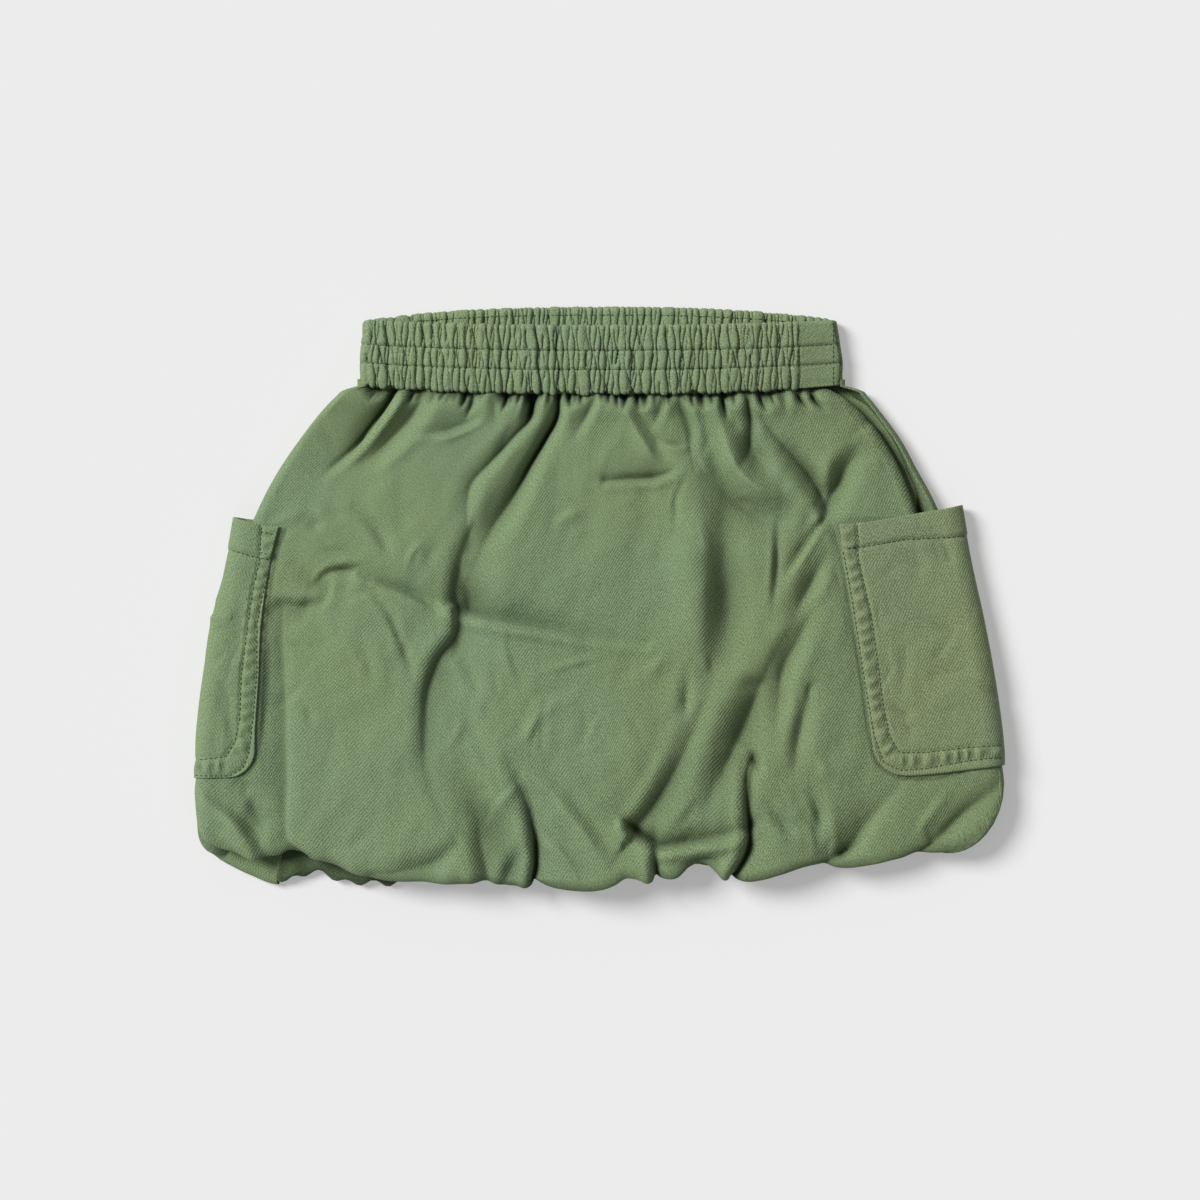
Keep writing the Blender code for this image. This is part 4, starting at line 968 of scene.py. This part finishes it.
def band_rows(outer, over, inner):
    """From the outside's foot, over the top edge, to the inside's: (height up the band, angle of turn)."""
    rows = [(h, 0.0) for h in np.linspace(0, 1, outer)[:-1]]
    rows += [(1.0, a) for a in np.linspace(0, math.pi, over)]
    rows += [(h, math.pi) for h in np.linspace(1, 0, inner)[1:]]
    return rows


def band_face(places, h):
    """The smooth points of the band at h up it, and the way they face."""
    left, point, right = (band_point(places + step, np.full_like(places, h)) for step in (-STEP, 0.0, STEP))
    above = min(h + 0.01, 1.0)
    rise = band_point(places, np.full_like(places, above))
    rise = rise - band_point(places, np.full_like(places, above - 0.01))
    return point, facing(-rise, right - left)


def band_row(places, h, turn, creases, flat_from, front_side):
    """One row of the strip, and its wear and painted shade."""
    outside = turn < 0.1
    point, out = band_face(places, h)
    x, middle = point[:, 0], point - out * BAND_HALF
    relief, gathered = band_relief(x, np.full_like(places, h), creases, flat_from)
    # Painted shade in the valleys between the pleats, weaker at the foot; the crests are rubbed pale.
    wear_and_shade = np.where(relief > PLEAT_SHADE_LEVEL, 0.7, 0.75) * (relief - PLEAT_SHADE_LEVEL) * (0.3 if h < 0.05 else 1.0)
    # Pleats flatten out at the sides. On the sides of the band that face each other they stay low.
    ends = smooth((BAND_REACH[1] - np.abs(x)) / 5)
    arm = BAND_HALF + relief * ends * (0.4 + 0.6 * abs(math.cos(turn))) - 1.1
    if not front_side and turn < 1.5:
        arm = 0.4 + 0.35 * relief * ends
    if front_side and turn > 1.6:
        arm = BAND_HALF + 0.5 * relief * ends
    if outside:
        # The foot comes down to the panel, where the two are sewn together.
        foot = BAND_HALF + 0.1
        arm = foot + (arm - foot) * smooth(h / FOOT_BLEND)
    spot = middle + out * (arm * math.cos(turn))[:, None]
    # The top edge turns over and its pleats make it wavy.
    spot[:, 1] += BAND_HALF * math.sin(turn) * 0.9 + 0.45 * (relief - 1.6) * gathered * math.sin(turn)
    if outside and h < RUFFLE_HIGH:
        # The foot ruffles where it is sewn to the panel.
        ruffle = 1.5 * (relief - 1.4) + 1.0 * cloud(x, np.zeros_like(x), 4.5, 44)
        spot[:, 1] -= ruffle * gathered * (1 - h / RUFFLE_HIGH)
    return spot, wear_and_shade


def band_piece(name, places, rows, seed, flat_from, front_side):
    """One half of the band, in millimetres, its pleats dealt out with a fixed seed."""
    creases = band_creases(seed)
    made = [band_row(places, h, turn, creases, flat_from, front_side) for h, turn in rows]
    points, wear_and_shade = (np.array(part) for part in zip(*made))
    points[..., 2] = np.maximum(points[..., 2], 0.1)
    across = np.cumsum(np.linalg.norm(np.diff(points[len(points) // 2], axis=0), axis=-1))
    across = np.concatenate([[0.0], across])
    down = np.cumsum(np.linalg.norm(np.diff(points, axis=0), axis=-1).mean(axis=1))
    down = np.concatenate([[0.0], down])
    lengths = np.stack(np.broadcast_arrays(across[None, :], -down[:, None]), axis=-1)
    return cloth(name, points, lengths, wear_and_shade, thick=0.6)


band_seam = seam_place(BAND["side"][0])
front_band_places = columns((LEFT_PLACE, -(1 + NOSE), 10), (-(1 + NOSE), -(1 - NOSE), 14),
                            (-(1 - NOSE), 1 - NOSE, 520), (1 - NOSE, band_seam, 4))
back_band_places = columns((band_seam, 1 + NOSE, 12), (1 + NOSE, 4 + LEFT_PLACE, 520))
waistband_front = band_piece("waistband_front_twill", front_band_places, band_rows(44, 8, 12), seed=3,
                             flat_from=FLAT_FROM, front_side=True)
waistband_back = band_piece("waistband_back_twill", back_band_places, band_rows(12, 8, 34), seed=8,
                            flat_from=112.0, front_side=False)

# %% [markdown]
# ## The cargo pockets
# A pocket is a patch with its mouth hemmed, sewn round three sides with two rows of stitches. It wraps
# round the side seam. Its points are the body's own points, moved out by the thickness of the cloth, so it
# can't sink into what carries it, and its mouth stands off sideways as the photograph shows.

# %% Where a point lies on the body
ROUNDS = 12  # the place settles in a few rounds


def row_at(q, y):
    """How far down the body the height y on the skirt is, at q round it."""
    v = np.full_like(q, 0.5)
    for _ in range(ROUNDS):
        _, _, u, front = body_ring(q, v, 0.0)
        top = bowed(BAND_FOOT, u, front) - SEAM_GAP
        v = (top - y) / (top - hem_start(u, front)[0])
    return v


def place_at(x, y, front):
    """The place round the tube of points at (x, y) on the flat of the front or of the back."""
    q = np.full(np.shape(x), 0.0 if front else 2.0)
    for _ in range(ROUNDS):
        v = row_at(q, y)
        left, right = side_x("left", side_row("left", v)), side_x("right", side_row("right", v))
        nose = through(ALONG["v"], ALONG["side"], v) / 2
        run = (x - (left + right) / 2) / ((right - left) / 2 - nose) * (1 - NOSE)
        q = run if front else np.sign(run) * (2 - np.abs(run))
    return q


# %% [markdown]
# The rows of stitches come first, because they shape the pocket: cloth dips along each row and puckers
# between two of them. The rows are lines in millimetres, as seen from above.

# %% Lines that the pockets are sewn along
POCKET_SEWING = {
    "right": {
        "mouth": [(119, 25), (130.5, 26.5), (150.5, 30), (171, 31), (183.5, 32)],
        "outer": [(117, 36.5), (120.5, 21), (124.5, -1), (128.3, -26.5), (132, -50), (135, -67), (139.5, -80),
                  (148, -84.3), (161, -83.3), (180, -79.8), (191, -78.4), (201, -78.4)],
        "inner": [(126.3, 41), (127.3, 21), (133.5, -6.5), (137, -32), (139.5, -52), (142.5, -67),
                  (147.5, -75.5), (161, -75.5), (180, -73), (201, -72)],
        "box": [(118.5, 40), (126.3, 42), (128, 26.5), (120.5, 25.5)],
    },
    "left": {
        "mouth": [(-186, 25.5), (-174, 22), (-162.5, 19.5)],
        "outer": [(-159, 34), (-161.5, 24), (-164, 17), (-168, 2), (-170.5, -12), (-170.5, -36), (-172, -55),
                  (-174, -74.5), (-177, -83), (-184, -87), (-202, -87)],
        "inner": [(-168.5, 36.5), (-169.5, 18.5), (-172.3, 7), (-175, -12), (-178, -36), (-179, -60),
                  (-181, -69.5), (-185.5, -77.5), (-202, -79.5)],
        "box": [(-169.5, 34), (-160, 32), (-162.5, 22), (-171, 24)],
    },
}


def beside(line, x, y):
    """The distance of each point from a line, and how far along it the nearest place is."""
    line = np.array(line, float)
    away, along, start = np.full(np.shape(x), np.inf), np.zeros(np.shape(x)), 0.0
    for a, b in zip(line[:-1], line[1:]):
        run = np.linalg.norm(b - a)
        way = (b - a) / run
        t = np.clip((x - a[0]) * way[0] + (y - a[1]) * way[1], 0, run)
        gap = np.hypot(x - a[0] - t * way[0], y - a[1] - t * way[1])
        along = np.where(gap < away, start + t, along)
        away = np.minimum(gap, away)
        start += run
    return away, along


# %% Wrinkles in the pockets
POCKET_FOLDS = {
    "right": [
        fold("mouth_crease", 1.2, 3, 4, [(164, 34), (169.5, 26), (176, 14)]),
        fold("mouth_crease_b", 0.8, 4, 4, [(150, 26), (156, 18), (160, 8)], peak=0.4),
        fold("dimple", 1.3, 3, 3, [(140, -50), (149, -56), (157, -56.5)], peak=0.4),
        fold("dimple_b", 1, 3.5, 3, [(142, -60), (150, -63), (155, -72)]),
        fold("middle_a", 0.8, 6, 7, [(150, 0), (166, -12), (184, -18)]),
        fold("middle_b", 0.7, 6, 5, [(160, -40), (176, -34), (190, -36)]),
    ],
    "left": [
        fold("middle_a", 1, 4, 5, [(-186, 10), (-182, -14), (-190, -40)]),
        fold("middle_b", 0.8, 4, 4, [(-196, -30), (-188, -44), (-184, -62)]),
    ],
}
for side, box in (("right", (135, 195, -75, 25)), ("left", (-198, -175, -75, 20))):
    POCKET_FOLDS[side] += crumples(12, box, seed=31 + len(side), depth=(0.2, 0.5))


# %% Shape a pocket
HEM_STEP, HEM_DEEP = 0.55, 13.5  # how far the hemmed mouth stands over the rest, and how deep it is
SEAM_DIPS = (("mouth", 0.75), ("outer", 0.6), ("inner", 0.75))  # how far each row draws the cloth in
DIP_WIDE, ROWS_APART, PUCKER = 1.1, 11.0, 6.6  # the puckers lie between two rows of stitches
POCKET_FULL = 1.6  # the room inside a pocket that doesn't gape
POCKET_WIDE, POCKET_TALL = 180, 130  # to turn places on the pocket into millimetres


def pocket_places(side, wide_steps, nose_steps, back_steps, tall_steps):
    """Where a pocket's points lie round the tube and down it, and how far they gape at the side fold."""
    table = POCKETS[side]
    sign = -1.0 if side == "left" else 1.0
    depths = np.linspace(0, 1, tall_steps)
    y_edge = table["mouth_edge"] + (table["foot_edge"] - table["mouth_edge"]) * depths
    y_fold = table["mouth_fold"] + (table["foot_fold"] - table["mouth_fold"]) * depths
    above_foot = np.minimum(y_edge - table["foot_edge"], POCKET_CORNER)
    cut = POCKET_CORNER - np.sqrt(POCKET_CORNER**2 - (POCKET_CORNER - above_foot) ** 2)
    side_fold = side_x(side, y_fold)
    q_edge = place_at(through(table["y"], table["edge"], y_edge) + sign * cut, y_edge, True)
    q_back = place_at(side_fold - sign * (table["back"] - cut), y_edge, False)
    turn_in, turn_out = sign * (1 - NOSE), sign * (1 + NOSE)
    q = np.array([columns((start, turn_in, wide_steps), (turn_in, turn_out, nose_steps),
                          (turn_out, end, back_steps)) for start, end in zip(q_edge, q_back)])
    reach, q_edge, q_back = np.abs(q), abs(q_edge)[:, None], abs(q_back)[:, None]
    near = smooth(np.where(reach <= 1, (reach - q_edge) / (1 - q_edge), (q_back - reach) / (q_back - 1)))
    mouth_fold = np.abs(through(table["y"], table["fold"], y_fold))
    gape = np.maximum(0.0, mouth_fold - np.abs(side_fold) - WALL - POCKET_FULL)
    v = row_at(q, y_edge[:, None] + (y_fold - y_edge)[:, None] * near)
    return q, v, sign * gape[:, None] * near


def pocket_relief(side, x, y, upper, hem):
    """How far a pocket's cloth stands out of its smooth shape, and its wear and painted shade."""
    sewing = POCKET_SEWING[side]
    raised = HEM_STEP * hem
    for row, deep in SEAM_DIPS:
        gap, _ = beside(sewing[row], x, y)
        raised -= deep * np.exp(-((gap / DIP_WIDE) ** 2)) * upper
    to_outer, _ = beside(sewing["outer"], x, y)
    to_inner, along = beside(sewing["inner"], x, y)
    between = np.exp(-(((to_outer - to_inner) / 5.5) ** 2)) * smooth((ROWS_APART - to_outer - to_inner) / 3)
    ladder = np.sin(along * 2 * math.pi / PUCKER + 1.2 * np.sin(along * 0.21))
    raised += between * (0.25 + 0.85 * np.clip(ladder, -0.5, 1)) * upper
    sink = 1.5 * folded(POCKET_FOLDS[side], x, y)[0] - 0.75 * washed(x, y, 120)
    raised -= sink * upper * smooth((to_outer - 1.0) / 5)
    # Painted shade between the puckers and in the folds; the puckers themselves are paler.
    return raised, 0.5 * between * (ladder - 0.3) - sink * 0.3


def pocket(side, *steps):
    table, sewing = POCKETS[side], POCKET_SEWING[side]
    q, v, shift = pocket_places(side, *steps)
    on = body_point(q, v)[0]
    down = body_point(q, v + STEP)[0] - body_point(q, v - STEP)[0]
    out = facing(down, body_point(q + STEP, v)[0] - body_point(q - STEP, v)[0])
    on[..., 0] += shift
    x, y = on[..., 0], on[..., 1]
    upper = np.clip(out[..., 2] * 3, 0, 1)  # 1 on top, 0 underneath
    # The mouth is hemmed: two more layers down to its row of stitches.
    depths = np.linspace(0, 1, len(q))
    tall = table["mouth_edge"] - table["foot_edge"]
    above = y > np.interp(x, *zip(*sorted(sewing["mouth"])))
    hem = np.where(upper > 0, above, (depths * tall < HEM_DEEP)[:, None])
    raised, wear_and_shade = pocket_relief(side, x, y, upper, hem)
    # Its three sewn edges lie down on the panel.
    row, col = np.arange(len(q))[:, None], np.arange(q.shape[1])[None, :]
    rim = np.minimum(np.minimum(col, col.max() - col), row.max() - row)
    lift = SEAM_GAP + WALL + np.maximum(raised, -0.5) - 0.35 * np.exp(-rim / 1.2)
    points = on + out * lift[..., None]
    points[..., 2] = np.maximum(points[..., 2], 0.05)
    to_side = np.minimum(q - q.min(axis=1)[:, None], q.max(axis=1)[:, None] - q) * POCKET_WIDE
    to_end = np.minimum(depths, 1 - depths)[:, None] * POCKET_TALL
    wear_and_shade = wear_and_shade + np.exp(-np.minimum(to_side, to_end) / 1.1)
    # The left pocket's columns run the other way round, so they are turned to face out.
    way = -1 if side == "left" else 1
    points, lengths, wear_and_shade = (part[:, ::way] for part in (points, lengths_of(points), wear_and_shade))
    return cloth("pocket_" + side + "_twill", points, lengths, wear_and_shade, thick=0.9)


pocket_left = pocket("left", 56, 22, 56, 150)
pocket_right = pocket("right", 112, 22, 34, 150)

# %% [markdown]
# ## Stitches
# One stitch is a short bead of thread, slimmer at its ends. It is modelled once and laid along each row:
# a ray dropped on the cloth finds the height and slope at its place, so every stitch sits in its seam.
# All the stitches of a seam become one mesh, because thousands of small objects would be slow.

# %% Model one stitch
bpy.ops.object.select_all(action="DESELECT")
bpy.ops.mesh.primitive_uv_sphere_add(segments=6, ring_count=4, radius=0.5)
stitch = bpy.context.object
stitch.rotation_euler = (0, math.pi / 2, 0)
bpy.ops.object.transform_apply(rotation=True)
# The sphere can come with its points in another order each time, so they are sorted by their places.
spots = [tuple(round(c, 4) for c in v.co) for v in stitch.data.vertices]
order = sorted(range(len(spots)), key=lambda i: spots[i])
stitch_points = np.array([stitch.data.vertices[i].co for i in order])
stitch_faces = []
for p in stitch.data.polygons:
    corners = [order.index(i) for i in p.vertices]
    least = corners.index(min(corners))
    stitch_faces.append(tuple(corners[least:] + corners[:least]))
stitch_faces.sort()
bpy.data.objects.remove(stitch)

DROP_FROM = 0.1  # metres above the surface, where the rays start


def landing(tree, x, y):
    """Where a point dropped at (x, y) in millimetres lands, and which way the cloth faces there."""
    place, facing_way, _, _ = tree.ray_cast(Vector((x * MM, y * MM, DROP_FROM)), Vector((0, 0, -1.0)))
    return None if place is None else (np.array(place), np.array(facing_way))


def sew(name, rows, on, pitch=2.5, long=1.8, thick=0.62, sink=0.12):
    """Stitches along rows of (x, y) points, dropped on a piece. Returns one joined mesh object."""
    tree = BVHTree.FromObject(on, bpy.context.evaluated_depsgraph_get())
    pick = random.Random(len(name))
    points, faces = [], []
    for row in rows:
        row = np.array(row, float)
        runs = np.concatenate([[0.0], np.cumsum(np.linalg.norm(np.diff(row, axis=0), axis=1))])
        for s in np.arange(pitch / 2, runs[-1], pitch):
            start, end = (landing(tree, *(np.interp(at, runs, row[:, k]) for k in (0, 1)))
                          for at in (s - long / 2, s + long / 2))
            if start is None or end is None:
                continue
            along = end[0] - start[0]
            size = np.linalg.norm(along)
            if size > 2.2 * long * MM:
                continue
            along /= size
            up = start[1] + end[1]
            if up[2] < 0:
                up = -up
            up -= along * (up @ along)
            up /= np.linalg.norm(up)
            side = np.cross(up, along)
            middle = (start[0] + end[0]) / 2 + up * (thick * (0.5 - sink) - 0.15) * MM
            width = thick * MM * pick.uniform(0.9, 1.1)
            base = len(points) * len(stitch_points)
            points.append(middle + stitch_points[:, :1] * along * max(size, long * MM * 0.7)
                          + stitch_points[:, 1:2] * side * width + stitch_points[:, 2:] * up * width * 0.75)
            faces += [tuple(base + i for i in face) for face in stitch_faces]
    mesh = bpy.data.meshes.new(name)
    mesh.from_pydata(np.concatenate(points).tolist(), [], faces)
    mesh.shade_smooth()
    thread = bpy.data.objects.new(name, mesh)
    bpy.context.scene.collection.objects.link(thread)
    print(name, len(points), "stitches")
    return thread


# %% Sew the pockets
stitches = {}
for side, piece in (("left", pocket_left), ("right", pocket_right)):
    stitches["pocket_" + side] = sew("pocket_" + side + "_stitches", POCKET_SEWING[side].values(), piece)

# %% Sew the waistband
across = np.linspace(-117, 117.5, 140)


def band_line(h, front_side):
    """The line round one side of the band at h up it, as (x, y) points."""
    foot, top = (bowed(table, across / HALF_BAND, front_side) for table in (BAND_FOOT, BAND_TOP))
    return np.stack([across, foot + (top - foot) * h], axis=-1)


rows = [band_line(h, True) for h in STITCH_ROWS]
rows += [[(FLAT_FROM, y), (FLAT_FROM, y + 9)] for y in (103.6, 115.2, 126.2)]
rows += [[(115.5, y), (115.5, y + 9.5)] for y in (107.0, 117.5, 128.0)]
stitches["band_front"] = sew("waistband_front_stitches", rows, waistband_front, pitch=2.3, sink=0.05)
rows = [[p for p in band_line(h, False) if abs(p[0]) < 104] for h in (0.94, 0.7)]
stitches["band_back"] = sew("waistband_back_stitches", rows, waistband_back, pitch=2.3, long=1.9, thick=0.6,
                            sink=0.05)

# %% [markdown]
# ## The twill
# Twill is woven with a fine diagonal rib. The rib follows the cloth, so it is drawn on the UV map, in real
# millimetres, and gives both a small change of colour and a bump. Washed cotton is never one colour: two
# soft noises on Object coordinates mottle it, one a little yellower and one a little bluer, and the right
# half is darker and browner. The wear and shade stored on every point make rubbed edges and ridges paler,
# paint shade into the hollows, and paint a nearly black shadow at the bottom of a tight crease. The surface
# is matt, with a faint sheen from the nap of the cotton.

# %% A washed cotton twill
RIB_TURN, RIB_PITCH = math.radians(36), 1.3  # the rib's slope, and its width in millimetres
YELLOW = 0.45  # how far the mottling goes towards yellow and towards blue


def set_sockets(node, **numbers):
    """Numbers for a node's inputs, named as on the node with _ for a space."""
    for socket, number in numbers.items():
        node.inputs[socket.replace("_", " ")].default_value = number


def twill(name, colour, contrast=0.42):
    """Washed twill of a colour. Contrast is how dark the lines between the ribs are."""
    material = bpy.data.materials.new(name)
    material.use_nodes = True
    nodes, links = material.node_tree.nodes, material.node_tree.links
    shader = nodes["Principled BSDF"]
    set_sockets(shader, Roughness=0.9, Specular_IOR_Level=0.14, Sheen_Weight=0.06, Sheen_Roughness=0.5)

    def mapped(vector, **numbers):
        mapping = nodes.new("ShaderNodeMapping")
        set_sockets(mapping, **numbers)
        links.new(vector, mapping.inputs["Vector"])
        return mapping.outputs["Vector"]

    def noise(scale, detail, coordinates, rough=0.5):
        cloud = nodes.new("ShaderNodeTexNoise")
        set_sockets(cloud, Scale=scale, Detail=detail, Roughness=rough)
        links.new(coordinates, cloud.inputs["Vector"])
        return cloud.outputs["Fac"]

    def spread(value, low, high, to_low, to_high):
        ramp = nodes.new("ShaderNodeMapRange")
        set_sockets(ramp, From_Min=low, From_Max=high, To_Min=to_low, To_Max=to_high)
        links.new(value, ramp.inputs["Value"])
        return ramp.outputs["Result"]

    def mixed(share, one, other, kind="MIX"):
        """Blends one towards other, each a socket or a colour."""
        blend = nodes.new("ShaderNodeMix")
        blend.data_type = "RGBA"
        blend.blend_type = kind
        links.new(share, blend.inputs["Factor"])
        colours = [socket for socket in blend.inputs if socket.type == "RGBA"]
        for socket, thing in zip(colours, (one, other)):
            if isinstance(thing, tuple):
                socket.default_value = (*thing, 1.0)
            else:
                links.new(thing, socket)
        return [socket for socket in blend.outputs if socket.type == "RGBA"][0]

    def bump(height, distance, normal=None):
        raised = nodes.new("ShaderNodeBump")
        set_sockets(raised, Strength=0.8, Distance=distance * MM)
        links.new(height, raised.inputs["Height"])
        if normal:
            links.new(normal, raised.inputs["Normal"])
        return raised.outputs["Normal"]

    weave_map = nodes.new("ShaderNodeUVMap")
    weave_map.uv_map = "weave"
    threads = mapped(weave_map.outputs["UV"], Rotation=(0, 0, RIB_TURN))
    wave = nodes.new("ShaderNodeTexWave")
    wave.bands_direction = "X"
    # At a scale of 1 this texture has 20 / (2 pi) bands in a metre.
    set_sockets(wave, Scale=2 * math.pi / (20 * RIB_PITCH * MM), Distortion=1.6, Detail=1.0, Detail_Scale=0.8)
    links.new(threads, wave.inputs["Vector"])
    ribs = wave.outputs["Fac"]
    grain = noise(2300, 1, mapped(threads, Scale=(1, 1 / 2, 1)), 0.6)
    slub = noise(500, 2, mapped(threads, Scale=(1, 1 / 3, 1)))
    place = nodes.new("ShaderNodeTexCoord").outputs["Object"]
    broad, fine, crumple = noise(17, 2, place), noise(60, 4, place, 0.6), noise(95, 4, place, 0.6)
    wear_and_shade = nodes.new("ShaderNodeAttribute")
    wear_and_shade.attribute_name = "wear_and_shade"
    worn_and_shaded = wear_and_shade.outputs["Fac"]
    halves = nodes.new("ShaderNodeSeparateXYZ")
    links.new(place, halves.inputs["Vector"])

    def tinted(red, green, blue):
        return tuple(min(1, c * share) for c, share in zip(colour, (red, green, blue)))

    cool = tinted(1 - 0.10 * YELLOW, 0.99, 1 + 0.30 * YELLOW)
    warm = tinted(1 + 0.16 * YELLOW, 1 + 0.02 * YELLOW, 1 - 0.30 * YELLOW)
    # Mottled, darker and browner to the right, faded in specks, rubbed on its ridges, dark between its ribs,
    # with thicker threads here and there and pale fibres all over.
    base = mixed(spread(broad, 0.35, 0.65, 0.0, 1.0), cool, warm)
    base = mixed(spread(halves.outputs["X"], 0.0, 0.10, 0.0, 1.0), base, (0.86, 0.81, 0.74), "MULTIPLY")
    base = mixed(spread(fine, 0.3, 0.7, 0.0, 0.30), base, tinted(0.72, 0.76, 0.62))
    base = mixed(spread(worn_and_shaded, 0.0, 1.0, 0.0, 0.35), base, tinted(1.42, 1.38, 1.36))
    base = mixed(spread(ribs, 0.0, 1.0, contrast, 0.0), base, tinted(0.35, 0.35, 0.35))
    base = mixed(spread(slub, 0.35, 0.65, 0.0, 0.16), base, tinted(0.55, 0.55, 0.55))
    base = mixed(spread(grain, 0.36, 0.64, 0.0, 0.75), base, tinted(1.9, 1.9, 1.9))
    # Last, over everything else: painted shade darkens a hollow, and a painted shadow makes a tight crease
    # nearly black.
    base = mixed(spread(worn_and_shaded, -0.1, DARKEST, 0.0, 1.0), base, (0.14, 0.16, 0.13), "MULTIPLY")
    links.new(base, shader.inputs["Base Color"])
    links.new(bump(ribs, 0.16, bump(crumple, 1.3)), shader.inputs["Normal"])
    return material


# %% Thread in the colour of the cloth
def thread_of(name, colour):
    material = bpy.data.materials.new(name)
    material.use_nodes = True
    nodes, links = material.node_tree.nodes, material.node_tree.links
    shader = nodes["Principled BSDF"]
    set_sockets(shader, Roughness=0.7, Specular_IOR_Level=0.3)
    cloud = nodes.new("ShaderNodeTexNoise")
    set_sockets(cloud, Scale=400)
    links.new(nodes.new("ShaderNodeTexCoord").outputs["Object"], cloud.inputs["Vector"])
    ramp = nodes.new("ShaderNodeValToRGB")
    for end, share in zip(ramp.color_ramp.elements, (0.75, 1.2)):
        end.color = (*(c * share for c in colour), 1.0)
    links.new(cloud.outputs["Fac"], ramp.inputs["Fac"])
    links.new(ramp.outputs["Color"], shader.inputs["Base Color"])
    return material


# %% Dress the pieces
panel_twill = twill("washed_olive_twill", (0.149, 0.209, 0.110))
band_twill = twill("gathered_olive_twill", (0.160, 0.218, 0.119), contrast=0.25)
left_pocket_twill = twill("left_pocket_twill", (0.150, 0.210, 0.112), contrast=0.34)
right_pocket_twill = twill("right_pocket_twill", (0.165, 0.212, 0.115), contrast=0.34)
tonal_thread = thread_of("tonal_thread", (0.055, 0.082, 0.040))
for piece, material in ((front_panel, panel_twill), (back_panel, panel_twill), (waistband_front, band_twill),
                        (waistband_back, band_twill), (pocket_left, left_pocket_twill),
                        (pocket_right, right_pocket_twill)):
    piece.data.materials.append(material)
for thread in stitches.values():
    thread.data.materials.append(tonal_thread)
print(len(stitches), "seams in", tonal_thread.name)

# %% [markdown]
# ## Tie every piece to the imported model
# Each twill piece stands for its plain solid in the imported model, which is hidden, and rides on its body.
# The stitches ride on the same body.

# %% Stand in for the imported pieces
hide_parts("front_panel")
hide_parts("back_panel")
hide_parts("waistband_front")
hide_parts("waistband_back")
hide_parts("pocket_left")
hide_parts("pocket_right")
for piece, slot in ((front_panel, "twill"), (back_panel, "twill"), (waistband_front, "waistband"),
                    (waistband_back, "waistband"), (pocket_left, "pocket"), (pocket_right, "pocket")):
    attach(piece, "root")
for thread in stitches.values():
    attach(thread, "root")

# %% [markdown]
# ## Floor, light and camera
# The skirt lies on a plain pale surface, which glows a little like a light table, so that the shadow beside
# the skirt stays pale. One large soft lamp stands up and to the left: every ridge is bright on its left and
# dark on its right, and the sky fills the shadows. The camera looks straight down.

# %% Set the floor
bpy.ops.object.select_all(action="DESELECT")
bpy.ops.mesh.primitive_plane_add(size=8, location=(0, 0, -0.0006))
floor = bpy.context.object
floor.name = "floor"
pale = bpy.data.materials.new("pale_floor")
pale.use_nodes = True
set_sockets(pale.node_tree.nodes["Principled BSDF"], Base_Color=(0.54, 0.54, 0.54, 1), Roughness=0.95,
            Specular_IOR_Level=0.0, Emission_Color=(1, 1, 1, 1), Emission_Strength=0.30)
floor.data.materials.append(pale)

# %% Set the light
scene = bpy.context.scene
scene.view_settings.view_transform = "Standard"
sky = bpy.data.worlds.new("sky")
sky.use_nodes = True
set_sockets(sky.node_tree.nodes["Background"], Color=(1, 1, 1, 1), Strength=0.24)
scene.world = sky
bpy.ops.object.light_add(type="SUN", location=(-1.0, 0.55, 1.0))
key = bpy.context.object
key.name = "key"
key.data.energy = 3.60
key.data.angle = math.radians(24)
key.rotation_mode = "QUATERNION"
key.rotation_quaternion = (-key.location).to_track_quat("-Z", "Y")

# %% Set the camera
CAMERA_HIGH, VIEW_WIDE = 1.6, 0.6  # metres: how high it stands, and how much of the surface it sees
bpy.ops.object.camera_add(location=(-0.0005, 0, CAMERA_HIGH), rotation=(0, 0, 0))
camera = bpy.context.object
camera.data.sensor_width = 36
camera.data.lens = camera.data.sensor_width * CAMERA_HIGH / VIEW_WIDE
scene.camera = camera
print("the camera sees", VIEW_WIDE, "m from", CAMERA_HIGH, "m up")
